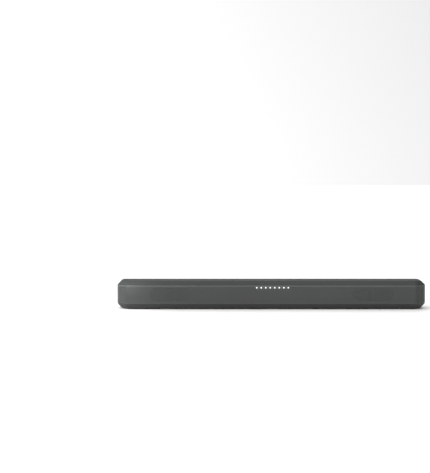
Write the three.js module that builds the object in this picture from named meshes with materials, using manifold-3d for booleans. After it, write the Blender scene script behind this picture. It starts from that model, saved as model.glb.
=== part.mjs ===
// A television soundbar: a long low case with cut corners and sloping edges, a wrap-round steel grille
// with a row of eight status lights, two oval loudspeakers in closed chambers, four keys on top, and
// sockets in two bays behind. Millimetres. +X runs along the bar, -Y is its front, +Z is up, and the
// origin is on the ground under its middle.
import * as THREE from "three";
import { mergeVertices } from "three/addons/utils/BufferGeometryUtils.js";
import Module from "manifold-3d";

const wasm = await Module();
wasm.setup();

// ---------------------------------------------------------------- driving dimensions

// The case as a whole.
const WIDTH = 700;
const DEPTH = 98;
const HEIGHT = 64; // feet included
const TOP_SLOPE = { run: 9, rise: 9 };
const BASE_SLOPE = { run: 9, rise: 11 };
const FRONT_CORNER = { across: 20, back: 22 };
const REAR_CORNER = 10;
const EDGE_SOFTENING = 6; // how far from each plan corner the rounding starts
const WALL = 2.5;
const SEAM = 0.6; // open line between two pieces of the case
const FIT = 0.3; // gap between neighbouring pieces inside

// Front and back.
const GRILLE_STEEL = 1;
const BAFFLE_WALL = 2.6;
const REAR_WRAP = 14; // how far the rear panel comes forward round the back corners
const LIP = { wall: 1.7, depth: 5, root: 3 };

// Status lights.
const LIGHTS = 8;
const LIGHT_PITCH = 10.2;
const LIGHT_RADIUS = 1.5;
const LIGHT_DROP = 5.5; // below the top edge of the grille
const LIGHT_OFFSET = 2; // the row's middle, right of the bar's
const LIGHT_BAR = { height: 5, thick: 2.4, overhang: 4 };
const DIODE = { width: 3, height: 2, thick: 0.8 };
const RECEIVER = { width: 7, height: 8, lens: 2, lensReach: 1.5, fromLights: 10 };

// Loudspeakers. A share is of the driver's half height, and a depth is from the front of its flange.
const BAY_HALF = 130; // half the length kept for the electronics
const DRIVER_HALF_WIDTH = 52;
const DRIVER_MARGIN = 1; // above and below the driver's flange, inside the baffle
const RIM_SHARE = 0.25;
const ROLL_SHARE = 0.2;
const COIL_SHARE = 0.43;
const FLANGE_THICK = 1.5;
const SURROUND_SHEET = 0.8;
const CONE = { depth: 8, paper: 0.6 };
const COIL = { thick: 0.8, front: 7, back: 21 };
const BASKET = { straight: 6, slope: 14, depth: 16, wall: 1.5, neck: 22 };
const BASKET_WINDOW = { from: 28, to: 40, front: 4, back: 13 };
const MAGNET = { outer: 17, thick: 8.2, gap: 1.6 };
const YOKE_THICK = 3.5;
const POLE_GAP = 0.6;
const SPIDER = { front: 9.8, cloth: 0.4, wave: 0.5, waves: 2 };
const TERMINAL = { reach: 4, height: 6 };

// Buttons.
const BUTTON = { length: 12, width: 7, flange: 1, flangeThick: 1, stem: 2, fromFront: 37 };
const BUTTON_PITCH = 18;
const BUTTON_TRAVEL = 0.5;
const BUTTON_CAP = 3.1;
const KEY_BOARD = { halfLength: 42, halfWidth: 8, postInset: 4 };
const SWITCH = { size: 6, height: 3.5, plunger: 1.5, plungerHeight: 0.7 };

// Bays and sockets at the back.
const BAY = { depth: 18, height: 24, wall: 2 }; // the wall is the floor's too
const SIGNAL_BAY = { x: 55, width: 84 };
const MAINS_BAY = { x: -70, width: 40 };
const SOCKET_PROUD = 0.4;
const INLET = { width: 26, height: 13, depth: 18 };
const INLET_WELL = { width: 18.6, height: 10, depth: 11, pinRadius: 1.2, pinSpacing: 8.6, pinSetback: 2 };
const OPTICAL = { x: 24, size: 10, depth: 16, wall: 0.9, cavity: 13 };
const SHUTTER = { thick: 0.8, gap: 0.25, setback: 1.2 };
const VIDEO = { x: 43, width: 15, height: 6, depth: 13, wall: 0.5, tongue: 1.2 };
const DATA = { x: 66, width: 14, height: 7, depth: 15, wall: 0.6, tongue: 1.9 };
const AUX = { x: 86, size: 8, depth: 13, bore: 1.8, nose: 3.2 };

// Boards.
const BOARD = { thick: 1.6, setback: 17, drop: 4 }; // behind the baffle, and below the middle of the grille
const CABLE_GAP = 1; // between the boards and the bays' floors
const MAIN_BOARD = { from: 5, to: 120 };
const POWER_BOARD = { from: -120, to: -8 };
const POST = { radius: 3, inset: 5, behindSockets: 6 };
const RIBBON_THICK = 0.4;
const SPEAKER_TERMINAL = { back: 11, size: 6, height: 7, fromStart: 8, fromEnd: 10 };
const DISPLAY_BOARD = { from: -48, to: 70, below: 7.5, above: 4.5 }; // below and above the lights

// Hanging, standing and fixing.
const KEYHOLE = { x: WIDTH / 2 - 40, head: 4.5, slot: 2.4, travel: 9 };
const FOOT = { length: 36, width: 12, height: 2.9, drop: 2, fromEnd: 80, fromSide: 23, corner: 4 };
const SCREW = { head: 2.8, headHeight: 2, shank: 1.5, length: 16, point: 2, slot: 0.35, slotDepth: 1 };
const BOSS = { radius: 4, bore: 1.8, counterbore: 3.4, counterboreDepth: 7, seat: 5 };
const BOSS_PLACE = { fromEnd: 28, endY: 8, fromWall: 15, fromFront: 13, fromRear: 13 };
const WADDING = { fromWall: 35, fromEnd: 58, behindYoke: 21, margin: 5 };
const WIRE_RADIUS = 1.2;

// Levels and planes that follow from them.
const FRONT = -DEPTH / 2;
const REAR = DEPTH / 2;
const UNDERSIDE = FOOT.drop;
const BELT_BASE = UNDERSIDE + BASE_SLOPE.rise;
const BELT_TOP = HEIGHT - TOP_SLOPE.rise;
const BELT_MIDDLE = (BELT_BASE + BELT_TOP) / 2;
const BUTTON_ROW_Y = FRONT + BUTTON.fromFront;
const BELT_SPAN = [BELT_BASE + SEAM / 2, BELT_TOP - SEAM / 2];
const WRAP_END = REAR - REAR_WRAP;
const BAFFLE_INSET = GRILLE_STEEL + FIT;
const LIP_INSET = BAFFLE_INSET + BAFFLE_WALL + FIT;
const BAFFLE_BACK = FRONT + BAFFLE_INSET + BAFFLE_WALL;
const FAR = WIDTH; // beyond the case in any direction, for cutting blocks

// ---------------------------------------------------------------- solids

// A closed three.js geometry as a solid, with its faces turned outwards.
function solid(geometry) {
  const bare = new THREE.BufferGeometry();
  bare.setAttribute("position", geometry.getAttribute("position"));
  bare.setIndex(geometry.getIndex());
  const merged = mergeVertices(bare, 1e-4);
  const make = (faces) =>
    new wasm.Manifold(
      new wasm.Mesh({
        numProp: 3,
        vertProperties: merged.getAttribute("position").array,
        triVerts: new Uint32Array(faces),
      }),
    );
  const faces = Array.from(merged.getIndex().array);
  const body = make(faces);
  return body.volume() > 0 ? body : make(faces.reverse());
}

function block([x0, x1], [y0, y1], [z0, z1]) {
  const box = new THREE.BoxGeometry(x1 - x0, y1 - y0, z1 - z0);
  return solid(box.translate((x0 + x1) / 2, (y0 + y1) / 2, (z0 + z1) / 2));
}

// A round bar standing along Z at x, y.
function post(x, y, [z0, z1], radius, sides = 12) {
  const bar = new THREE.CylinderGeometry(radius, radius, z1 - z0, sides).rotateX(Math.PI / 2);
  return solid(bar.translate(x, y, (z0 + z1) / 2));
}

// A round bar lying along Y at x, z.
function pin(x, z, [y0, y1], radius, sides = 12) {
  const bar = new THREE.CylinderGeometry(radius, radius, y1 - y0, sides);
  return solid(bar.translate(x, (y0 + y1) / 2, z));
}

// A flat outline in XY, drawn as a Shape and raised from z0 to z1.
function raised(shape, [z0, z1]) {
  const body = new THREE.ExtrudeGeometry(shape, { depth: z1 - z0, bevelEnabled: false, curveSegments: 2 });
  return solid(body.translate(0, 0, z0));
}

// A flat outline in XZ, drawn as a Shape and run from y0 to y1.
function run(shape, [y0, y1]) {
  const body = new THREE.ExtrudeGeometry(shape, { depth: y1 - y0, bevelEnabled: false, curveSegments: 2 });
  return solid(body.rotateX(Math.PI / 2).translate(0, y1, 0));
}

// A body skinned over rings of equally many points; with loop, the last ring joins the first and
// there are no end caps.
function skin(rings, loop = false) {
  const count = rings[0].length;
  const faces = [];
  for (let ring = 0; ring < rings.length - (loop ? 0 : 1); ring++) {
    for (let i = 0; i < count; i++) {
      const here = ring * count;
      const next = ((ring + 1) % rings.length) * count;
      const after = (i + 1) % count;
      faces.push(here + i, here + after, next + after, here + i, next + after, next + i);
    }
  }
  const last = (rings.length - 1) * count;
  for (let i = 1; !loop && i < count - 1; i++) {
    faces.push(0, i + 1, i, last, last + i, last + i + 1);
  }
  const body = new THREE.BufferGeometry().setFromPoints(rings.flat());
  return solid(body.setIndex(faces));
}

// A profile of [radius, y] points turned about the Y axis through x, z.
function turned(profile, x, z, sides = 16) {
  const points = profile.map(([radius, y]) => new THREE.Vector2(radius, y));
  return solid(new THREE.LatheGeometry(points, sides).translate(x, 0, z));
}

const joined = (bodies) => bodies.reduce((whole, body) => whole.add(body));
const cut = (body, tools) => tools.reduce((rest, tool) => rest.subtract(tool), body);
const both = (make) => [make(-1), make(1)];

// ---------------------------------------------------------------- the form of the case

// The corners of the plan, anticlockwise from the front left.
const PLAN = [
  [-WIDTH / 2 + FRONT_CORNER.across, FRONT],
  [WIDTH / 2 - FRONT_CORNER.across, FRONT],
  [WIDTH / 2, FRONT + FRONT_CORNER.back],
  [WIDTH / 2, REAR - REAR_CORNER],
  [WIDTH / 2 - REAR_CORNER, REAR],
  [-WIDTH / 2 + REAR_CORNER, REAR],
  [-WIDTH / 2, REAR - REAR_CORNER],
  [-WIDTH / 2, FRONT + FRONT_CORNER.back],
].map(([x, y]) => new THREE.Vector2(x, y));

// The plan pulled in by inset, with each corner softened into a short curve, at height z.
function planRing(inset, z) {
  const count = PLAN.length;
  const outward = PLAN.map((corner, i) => {
    const side = PLAN[(i + 1) % count].clone().sub(corner).normalize();
    return new THREE.Vector2(side.y, -side.x);
  });
  const corners = PLAN.map((corner, i) => {
    const [a, b] = [outward[(i + count - 1) % count], outward[i]];
    return corner.clone().addScaledVector(a.clone().add(b), -inset / (1 + a.dot(b)));
  });
  return corners.flatMap((corner, i) => {
    const towards = (other) => other.clone().sub(corner).setLength(EDGE_SOFTENING).add(corner);
    const start = towards(corners[(i + count - 1) % count]);
    const end = towards(corners[(i + 1) % count]);
    const curve = new THREE.QuadraticBezierCurve(start, corner, end);
    return curve.getPoints(2).map((p) => new THREE.Vector3(p.x, p.y, z));
  });
}

// A slope's run and rise once every face of the case has moved in by depth.
function slopeInside({ run: along, rise }, depth) {
  const slant = Math.hypot(along, rise);
  return {
    run: along + (depth * (slant - along)) / rise,
    rise: rise + (depth * (slant - rise)) / along,
  };
}

// The whole form of the case, moved in by depth on every face.
function caseForm(depth) {
  const base = slopeInside(BASE_SLOPE, depth);
  const top = slopeInside(TOP_SLOPE, depth);
  return skin([
    planRing(base.run, UNDERSIDE + depth),
    planRing(depth, UNDERSIDE + base.rise),
    planRing(depth, HEIGHT - top.rise),
    planRing(top.run, HEIGHT - depth),
  ]);
}

// An upright band that follows the plan, from one inset to another.
function band(outer, inner, [z0, z1]) {
  const within = (inset, [from, to]) => skin([planRing(inset, from), planRing(inset, to)]);
  return within(outer, [z0, z1]).subtract(within(inner, [z0 - 1, z1 + 1]));
}

const above = (z) => block([-FAR, FAR], [-FAR, FAR], [z, FAR]);
const below = (z) => block([-FAR, FAR], [-FAR, FAR], [-FAR, z]);
const ahead = (y) => block([-FAR, FAR], [-FAR, y], [-FAR, FAR]);
const behind = (y) => block([-FAR, FAR], [y, FAR], [-FAR, FAR]);
const caseShell = caseForm(0).subtract(caseForm(WALL));

// Straight lips inside a cover, along the back and both ends, that keep the upright walls in line.
function lips([z0, z1], grow = 0) {
  const [near, deep] = [LIP_INSET - grow, LIP_INSET + LIP.wall + grow];
  const z = [z0 - grow, z1 + grow];
  const clearOfCorner = REAR_CORNER + EDGE_SOFTENING + LIP_INSET;
  const endSpan = [0, REAR - clearOfCorner];
  const backHalf = WIDTH / 2 - clearOfCorner;
  return joined([
    block([-backHalf, backHalf], [REAR - deep, REAR - near], z),
    block([-WIDTH / 2 + near, -WIDTH / 2 + deep], endSpan, z),
    block([WIDTH / 2 - deep, WIDTH / 2 - near], endSpan, z),
  ]);
}
const TOP_LIPS = [BELT_TOP - LIP.depth, BELT_TOP + LIP.root];
const BASE_LIPS = [BELT_BASE - LIP.root, BELT_BASE + LIP.depth];

// ---------------------------------------------------------------- outlines

// A rounded rectangle about x, y.
function roundedRectangle(x, y, length, width, corner) {
  const [w, h] = [length / 2, width / 2];
  const shape = new THREE.Shape();
  shape.moveTo(x - w + corner, y - h);
  shape.absarc(x + w - corner, y - h + corner, corner, -Math.PI / 2, 0);
  shape.absarc(x + w - corner, y + h - corner, corner, 0, Math.PI / 2);
  shape.absarc(x - w + corner, y + h - corner, corner, Math.PI / 2, Math.PI);
  shape.absarc(x - w + corner, y - h + corner, corner, Math.PI, Math.PI * 1.5);
  return shape;
}

// The oblong outline of a key top, grown by grow on every side.
function oblong(x, y, grow) {
  const width = BUTTON.width + 2 * grow;
  return roundedRectangle(x, y, BUTTON.length + 2 * grow, width, width / 2 - 0.01);
}

// One ring of an oval (two half circles and two straights) about x and BELT_MIDDLE, facing along Y.
const OVAL_POINTS = 16;
function ovalRing(x, [halfWidth, halfHeight, y]) {
  return Array.from({ length: OVAL_POINTS }, (_, i) => {
    const turn = ((i + 0.5) / OVAL_POINTS) * Math.PI * 2;
    const straight = (halfWidth - halfHeight) * Math.sign(Math.cos(turn));
    const across = straight + halfHeight * Math.cos(turn);
    return new THREE.Vector3(x + across, y, BELT_MIDDLE - halfHeight * Math.sin(turn));
  });
}
const ovalBody = (x, sections) => skin(sections.map((section) => ovalRing(x, section)));
const ovalLoop = (x, sections) => skin(sections.map((section) => ovalRing(x, section)), true);

// ---------------------------------------------------------------- where things are

const lightX = Array.from({ length: LIGHTS }, (_, i) => LIGHT_OFFSET + (i - (LIGHTS - 1) / 2) * LIGHT_PITCH);
const LIGHT_Z = BELT_TOP - LIGHT_DROP;
const LIGHT_BAR_HALF = ((LIGHTS - 1) * LIGHT_PITCH) / 2 + LIGHT_BAR.overhang;
const RECEIVER_X = LIGHT_OFFSET + LIGHT_BAR_HALF + RECEIVER.fromLights;
const DISPLAY_FACE = BAFFLE_BACK + FIT + LIGHT_BAR.thick + FIT + DIODE.thick + FIT;

const DRIVER_X = (BAY_HALF + WIDTH / 2 - FRONT_CORNER.across) / 2;
const DRIVER_HALF_HEIGHT = (BELT_TOP - BELT_BASE - SEAM) / 2 - DRIVER_MARGIN;
const RIM = RIM_SHARE * DRIVER_HALF_HEIGHT;
const ROLL = ROLL_SHARE * DRIVER_HALF_HEIGHT;
const COIL_OUTER = COIL_SHARE * DRIVER_HALF_HEIGHT;
const [MOUTH_W, MOUTH_H] = [DRIVER_HALF_WIDTH - RIM - 1, DRIVER_HALF_HEIGHT - RIM - 1];
const [CONE_W, CONE_H] = [MOUTH_W - ROLL, MOUTH_H - ROLL];
const FLANGE_FRONT = BAFFLE_BACK + FIT + SURROUND_SHEET + FIT;
const NECK = COIL_OUTER + FIT;
const MAGNET_FRONT = BASKET.depth + FIT;
const YOKE_FRONT = MAGNET_FRONT + MAGNET.thick + FIT;
const YOKE_BACK = FLANGE_FRONT + YOKE_FRONT + YOKE_THICK;

const BAY_FLOOR_BACK = REAR - BAY.depth;
const BAY_FLOOR_FRONT = BAY_FLOOR_BACK - BAY.wall;
const SOCKET_FACE = BAY_FLOOR_BACK + SOCKET_PROUD;
const BOARD_TOP = BELT_MIDDLE - BOARD.drop;
const BOARD_BOTTOM = BOARD_TOP - BOARD.thick;
const BOARD_FRONT = BAFFLE_BACK + BOARD.setback;
const BOARD_SPAN = [BOARD_FRONT, BAY_FLOOR_FRONT - CABLE_GAP];
const SOCKET_BASE = BOARD_TOP + FIT;

const buttonNames = ["standby", "source", "volume_down", "volume_up"];
const buttonX = buttonNames.map((_, i) => (i - (buttonNames.length - 1) / 2) * BUTTON_PITCH);
const STEM_END = HEIGHT - BUTTON_CAP - BUTTON.flangeThick - BUTTON.stem;
const PLUNGER_TOP = STEM_END - BUTTON_TRAVEL - FIT / 3;
const KEY_BOARD_TOP = PLUNGER_TOP - SWITCH.plungerHeight - SWITCH.height;
const keyPostX = [KEY_BOARD.postInset - KEY_BOARD.halfLength, KEY_BOARD.halfLength - KEY_BOARD.postInset];

// The six case screws: near each end, and behind and in front of the two chamber walls.
const SCREW_HEAD_Z = UNDERSIDE + BOSS.counterboreDepth;
const SCREW_TIP = SCREW_HEAD_Z + SCREW.length;
const BOSS_MEETING = SCREW_HEAD_Z + BOSS.seat;
const bossSpots = [["left", -1], ["right", 1]].flatMap(([name, side]) => {
  const [end, wall] = [side * (WIDTH / 2 - BOSS_PLACE.fromEnd), side * (BAY_HALF + BOSS_PLACE.fromWall)];
  return [
    [`${name}_end`, end, BOSS_PLACE.endY],
    [`${name}_front`, wall, FRONT + BOSS_PLACE.fromFront],
    [`${name}_back`, wall, REAR - BOSS_PLACE.fromRear],
  ];
});

// ---------------------------------------------------------------- casing

// The space of a bay, grown by grow above, below and to both sides.
function bayBlock(bay, grow, span) {
  return block([bay.x - bay.width / 2 - grow, bay.x + bay.width / 2 + grow], span,
    [BELT_MIDDLE - BAY.height / 2 - grow, BELT_MIDDLE + BAY.height / 2 + grow]);
}
const bays = [SIGNAL_BAY, MAINS_BAY];
const aroundBays = bays.map((bay) => bayBlock(bay, BAY.wall + FIT, [BAY_FLOOR_FRONT - FIT, REAR - WALL]));

// Top cover: the roof and its slopes, with lips, screw bosses, the key board's posts and four key openings.
function topCover() {
  const roof = HEIGHT - WALL / 2;
  const bosses = bossSpots.map(([, x, y]) => post(x, y, [BOSS_MEETING + FIT, roof], BOSS.radius));
  const bores = bossSpots.map(([, x, y]) => post(x, y, [BOSS_MEETING - 1, SCREW_TIP + 1], BOSS.bore));
  const keyPosts = keyPostX.map((x) => post(x, BUTTON_ROW_Y, [KEY_BOARD_TOP + FIT, roof], POST.radius));
  const keyHoles = buttonX.map((x) =>
    raised(oblong(x, BUTTON_ROW_Y, FIT), [HEIGHT - WALL - 1, HEIGHT + 1]));
  const shell = caseShell.intersect(above(BELT_TOP + SEAM / 2));
  const body = joined([shell, cut(lips(TOP_LIPS), aroundBays), ...bosses, ...keyPosts]);
  return cut(body, [...bores, ...keyHoles]);
}

// Bottom cover: the floor and its slopes, with lips, counterbored screw towers, board posts and foot wells.
function bottomCover() {
  const floor = UNDERSIDE + WALL / 2;
  const towers = bossSpots.map(([, x, y]) => post(x, y, [floor, BOSS_MEETING], BOSS.radius + 1));
  const bores = bossSpots.flatMap(([, x, y]) => [
    post(x, y, [0, SCREW_HEAD_Z], BOSS.counterbore),
    post(x, y, [0, BOSS_MEETING + 1], BOSS.bore),
  ]);
  const posts = boardCorners().map(([x, y]) => post(x, y, [floor, BOARD_BOTTOM - FIT], POST.radius, 8));
  const wells = footSpots().map(([, x, y]) =>
    raised(roundedRectangle(x, y, FOOT.length + 2 * FIT, FOOT.width + 2 * FIT, FOOT.corner + FIT),
      [0, FOOT.height + FIT / 2]));
  const shell = caseShell.intersect(below(BELT_BASE - SEAM / 2));
  return cut(joined([shell, cut(lips(BASE_LIPS), aroundBays), ...towers, ...posts]), [...bores, ...wells]);
}

function boardCorners() {
  const [front, back] = [BOARD_FRONT + POST.inset, BAY_FLOOR_FRONT - INLET.depth - POST.behindSockets];
  return [POWER_BOARD, MAIN_BOARD].flatMap(({ from, to }) =>
    [from + POST.inset, to - POST.inset].flatMap((x) => [front, back].map((y) => [x, y])));
}

function footSpots() {
  const [x, y] = [WIDTH / 2 - FOOT.fromEnd, DEPTH / 2 - FOOT.fromSide];
  return [
    ["foot_front_left", -x, -y],
    ["foot_front_right", x, -y],
    ["foot_rear_left", -x, y],
    ["foot_rear_right", x, y],
  ];
}

// Grille: bent steel sheet across the front and round both ends, with a hole for each light.
function frontGrille() {
  const sheet = band(0, GRILLE_STEEL, BELT_SPAN).intersect(ahead(WRAP_END - SEAM / 2));
  return cut(sheet, lightX.map((x) => pin(x, LIGHT_Z, [FRONT - 1, FRONT + 3], LIGHT_RADIUS + FIT / 2, 8)));
}

// Baffle: the moulded wall behind the grille, open for both drivers, the light pins and the receiver's lens.
function frontBaffle() {
  const wrap = band(BAFFLE_INSET, BAFFLE_INSET + BAFFLE_WALL, BELT_SPAN);
  const wall = wrap.intersect(ahead(WRAP_END - SEAM / 2));
  const through = [FRONT, BAFFLE_BACK + 2];
  const mouths = both((side) =>
    ovalBody(side * DRIVER_X, through.map((y) => [MOUTH_W + 1, MOUTH_H + 1, y])));
  const room = LIGHT_RADIUS + 2 * FIT;
  const ends = [lightX[0] - room, lightX[LIGHTS - 1] + room];
  const slot = block(ends, through, [LIGHT_Z - room, LIGHT_Z + room]);
  return cut(wall, [...mouths, slot, pin(RECEIVER_X, LIGHT_Z, through, RECEIVER.lens + FIT)]);
}

// Rear panel: the back with its wrapped corners, two socket bays and two keyholes for hanging.
function rearPanel() {
  const wall = band(0, WALL, BELT_SPAN).intersect(behind(WRAP_END + SEAM / 2));
  const boxes = bays.map((bay) => bayBlock(bay, BAY.wall, [BAY_FLOOR_FRONT, REAR - WALL / 2]));
  const hollows = bays.map((bay) => bayBlock(bay, 0, [BAY_FLOOR_BACK, REAR + 1]));
  const floor = [BAY_FLOOR_FRONT - 1, BAY_FLOOR_BACK + 1];
  const window = ({ x, width, height }) =>
    block([x - width / 2 - FIT, x + width / 2 + FIT], floor, [SOCKET_BASE - FIT, SOCKET_BASE + height + FIT]);
  const windows = [
    window({ x: MAINS_BAY.x, width: INLET.width, height: INLET.height }),
    window({ x: OPTICAL.x, width: OPTICAL.size, height: OPTICAL.size }),
    window(VIDEO),
    window(DATA),
    pin(AUX.x, SOCKET_BASE + AUX.size / 2, floor, AUX.nose + FIT),
  ];
  return cut(joined([wall, ...boxes]), [...hollows, ...windows, ...both(keyhole)]);
}

// A screw head's hole with a slot above it.
function keyhole(side) {
  const x = side * KEYHOLE.x;
  const low = BELT_MIDDLE - KEYHOLE.travel / 2;
  const span = [REAR - WALL - 1, REAR + 1];
  return joined([
    pin(x, low, span, KEYHOLE.head),
    block([x - KEYHOLE.slot, x + KEYHOLE.slot], span, [low, low + KEYHOLE.travel]),
    pin(x, low + KEYHOLE.travel, span, KEYHOLE.slot),
  ]);
}

function foot([, x, y]) {
  return raised(roundedRectangle(x, y, FOOT.length, FOOT.width, FOOT.corner), [0, FOOT.height]);
}

// Self-tapping screw, head down, with a cross recess.
function caseScrew([, x, y]) {
  const { head, headHeight, shank, point, slot, slotDepth } = SCREW;
  const [face, seat] = [SCREW_HEAD_Z - headHeight, SCREW_HEAD_Z - FIT];
  const profile = [
    [0, face], [head * 0.7, face], [head, face + headHeight * 0.6],
    [head, seat], [shank, seat], [shank, SCREW_TIP - point], [0, SCREW_TIP],
  ].map(([radius, z]) => new THREE.Vector2(radius, z));
  const body = solid(new THREE.LatheGeometry(profile, 8).rotateX(Math.PI / 2).translate(x, y, 0));
  const reach = head * 0.55;
  const depth = [face - 1, face + slotDepth];
  return cut(body, [
    block([x - reach, x + reach], [y - slot, y + slot], depth),
    block([x - slot, x + slot], [y - reach, y + reach], depth),
  ]);
}

// ---------------------------------------------------------------- lights and keys

// Clear light guide: a bar behind the baffle with eight round pins that end flush with the grille.
function lightGuide() {
  const face = BAFFLE_BACK + FIT;
  const half = LIGHT_BAR.height / 2;
  const bar = block([LIGHT_OFFSET - LIGHT_BAR_HALF, LIGHT_OFFSET + LIGHT_BAR_HALF],
    [face, face + LIGHT_BAR.thick], [LIGHT_Z - half, LIGHT_Z + half]);
  return joined([bar, ...lightX.map((x) => pin(x, LIGHT_Z, [FRONT, face + 1], LIGHT_RADIUS, 8))]);
}

// Upright display board with a light-emitting diode behind each pin.
function displayBoard() {
  const { from, to, below: drop, above: rise } = DISPLAY_BOARD;
  const thickness = [DISPLAY_FACE, DISPLAY_FACE + BOARD.thick];
  const board = block([from, to], thickness, [LIGHT_Z - drop, LIGHT_Z + rise]);
  const [w, h] = [DIODE.width / 2, DIODE.height / 2];
  const diodes = lightX.map((x) =>
    block([x - w, x + w], [DISPLAY_FACE - DIODE.thick, DISPLAY_FACE + 0.5], [LIGHT_Z - h, LIGHT_Z + h]));
  return joined([board, ...diodes]);
}

// Remote-control receiver: a small block with a round lens that looks through the baffle.
function receiver() {
  const { width, height, lens, lensReach } = RECEIVER;
  const face = BAFFLE_BACK + FIT;
  const body = block([RECEIVER_X - width / 2, RECEIVER_X + width / 2], [face, DISPLAY_FACE - FIT],
    [LIGHT_Z - height / 2, LIGHT_Z + height / 2]);
  return body.add(pin(RECEIVER_X, LIGHT_Z, [face - lensReach, face + 1], lens));
}

// Key: an oblong cap flush with the roof, a retaining flange under the roof, and a stem down to its switch.
function button(x) {
  const flangeTop = HEIGHT - BUTTON_CAP;
  const stem = [STEM_END, flangeTop];
  return joined([
    raised(oblong(x, BUTTON_ROW_Y, 0), [flangeTop - BUTTON.flangeThick / 2, HEIGHT]),
    raised(oblong(x, BUTTON_ROW_Y, BUTTON.flange), [flangeTop - BUTTON.flangeThick, flangeTop]),
    post(x, BUTTON_ROW_Y, stem, BUTTON.stem, 8),
  ]);
}

// Key board with four push switches.
function keyBoard() {
  const board = block([-KEY_BOARD.halfLength, KEY_BOARD.halfLength],
    [BUTTON_ROW_Y - KEY_BOARD.halfWidth, BUTTON_ROW_Y + KEY_BOARD.halfWidth],
    [KEY_BOARD_TOP - BOARD.thick, KEY_BOARD_TOP]);
  const half = SWITCH.size / 2;
  const switches = buttonX.flatMap((x) => [
    block([x - half, x + half], [BUTTON_ROW_Y - half, BUTTON_ROW_Y + half],
      [KEY_BOARD_TOP - 0.5, KEY_BOARD_TOP + SWITCH.height]),
    post(x, BUTTON_ROW_Y, [KEY_BOARD_TOP, PLUNGER_TOP], SWITCH.plunger, 8),
  ]);
  return joined([board, ...switches]);
}

// ---------------------------------------------------------------- loudspeakers

// Every y below is measured from the front of the driver's flange, towards the back.
const fromFlange = (sections) => sections.map(([a, b, y]) => [a, b, FLANGE_FRONT + y]);
const turnedBack = (profile, x) =>
  turned(profile.map(([radius, y]) => [radius, FLANGE_FRONT + y]), x, BELT_MIDDLE);

// Frame: pressed steel flange and basket with an open window at each end, a plate at the back for the
// magnet, and a terminal tab towards the middle of the bar.
function driverFrame(side) {
  const x = side * DRIVER_X;
  const { straight, slope, depth, wall, neck } = BASKET;
  const hole = COIL_OUTER + 2 * FIT;
  const body = ovalLoop(x, fromFlange([
    [DRIVER_HALF_WIDTH, DRIVER_HALF_HEIGHT, 0],
    [DRIVER_HALF_WIDTH, DRIVER_HALF_HEIGHT, FLANGE_THICK],
    [MOUTH_W + 2, MOUTH_H + 2, FLANGE_THICK],
    [MOUTH_W + 2, MOUTH_H + 2, straight],
    [neck, MOUTH_H + 0.5, slope],
    [neck, MOUTH_H + 0.5, depth],
    [hole, hole, depth],
    [hole, hole, depth - wall - 0.3],
    [neck - wall, MOUTH_H - 1, slope - wall],
    [MOUTH_W, MOUTH_H, straight - 0.5],
    [MOUTH_W, MOUTH_H, 0],
  ]));
  const { from, to, front, back } = BASKET_WINDOW;
  const across = (end) => [x + Math.min(end * from, end * to), x + Math.max(end * from, end * to)];
  const open = CONE_H * 0.9;
  const window = (end) =>
    block(across(end), [FLANGE_FRONT + front, FLANGE_FRONT + back], [BELT_MIDDLE - open, BELT_MIDDLE + open]);
  const [root, tip] = [neck - 1, neck + TERMINAL.reach].map((inwards) => side * (DRIVER_X - inwards));
  const terminal = block([Math.min(root, tip), Math.max(root, tip)],
    [FLANGE_FRONT + depth - wall, FLANGE_FRONT + depth],
    [BELT_MIDDLE - TERMINAL.height / 2, BELT_MIDDLE + TERMINAL.height / 2]);
  return cut(body, both(window)).add(terminal);
}

// Rubber surround: a half roll between the flange and the edge of the cone, with a flat lip on each.
function surround(side) {
  const [back, front] = [-FIT, -FIT - SURROUND_SHEET];
  const at = (offset, y) => [MOUTH_W - offset, MOUTH_H - offset, y];
  const roll = (from) =>
    [0.15, 0.5, 0.85].map((share) => at(ROLL * share, from - 0.55 * ROLL * Math.sin(share * Math.PI)));
  return ovalLoop(side * DRIVER_X, fromFlange([
    at(-RIM, front), at(0, front), ...roll(front), at(ROLL, front), at(ROLL + 2, front),
    at(ROLL + 2, back), at(ROLL, back), ...roll(back).reverse(), at(0, back), at(-RIM, back),
  ]));
}

// Paper cone: oval at the surround, round at the voice coil.
function cone(side) {
  return ovalLoop(side * DRIVER_X, fromFlange([
    [CONE_W, CONE_H, 0],
    [NECK, NECK, CONE.depth],
    [NECK + CONE.paper, NECK + CONE.paper, CONE.depth + CONE.paper],
    [CONE_W + CONE.paper, CONE_H + CONE.paper, CONE.paper],
  ]));
}

function dustCap(side) {
  const [edge, top, thick] = [COIL.front - FIT, COIL.front - 3.5, 0.5];
  return turnedBack([
    [0, top], [COIL_OUTER * 0.55, top + 0.8], [COIL_OUTER, edge - thick], [COIL_OUTER, edge],
    [COIL_OUTER * 0.55, top + 0.8 + thick], [0, top + thick],
  ], side * DRIVER_X);
}

function voiceCoil(side) {
  const { thick, front, back } = COIL;
  const [inner, former] = [COIL_OUTER - thick, COIL_OUTER - thick / 2];
  return turnedBack([
    [inner, front], [former, front], [former, front + 6], [COIL_OUTER, front + 6],
    [COIL_OUTER, back], [inner, back], [inner, front],
  ], side * DRIVER_X);
}

// Spider: the waved cloth ring that centres the coil.
function spider(side) {
  const { front, cloth, wave, waves } = SPIDER;
  const [from, to] = [COIL_OUTER + 2 * FIT, MOUTH_H - BASKET.wall - FIT];
  const radii = Array.from({ length: waves + 1 }, (_, i) => from + ((to - from) * i) / waves);
  const face = (depth) => radii.map((radius, i) => [radius, depth + (i % 2 ? wave : 0)]);
  const outline = [...face(front), ...face(front + cloth).reverse(), [from, front]];
  return turnedBack(outline, side * DRIVER_X);
}

function magnet(side) {
  const [inner, outer] = [COIL_OUTER + MAGNET.gap, MAGNET.outer];
  const [front, back] = [MAGNET_FRONT, MAGNET_FRONT + MAGNET.thick];
  const outline = [[inner, front], [outer, front], [outer, back], [inner, back], [inner, front]];
  return turnedBack(outline, side * DRIVER_X);
}

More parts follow.
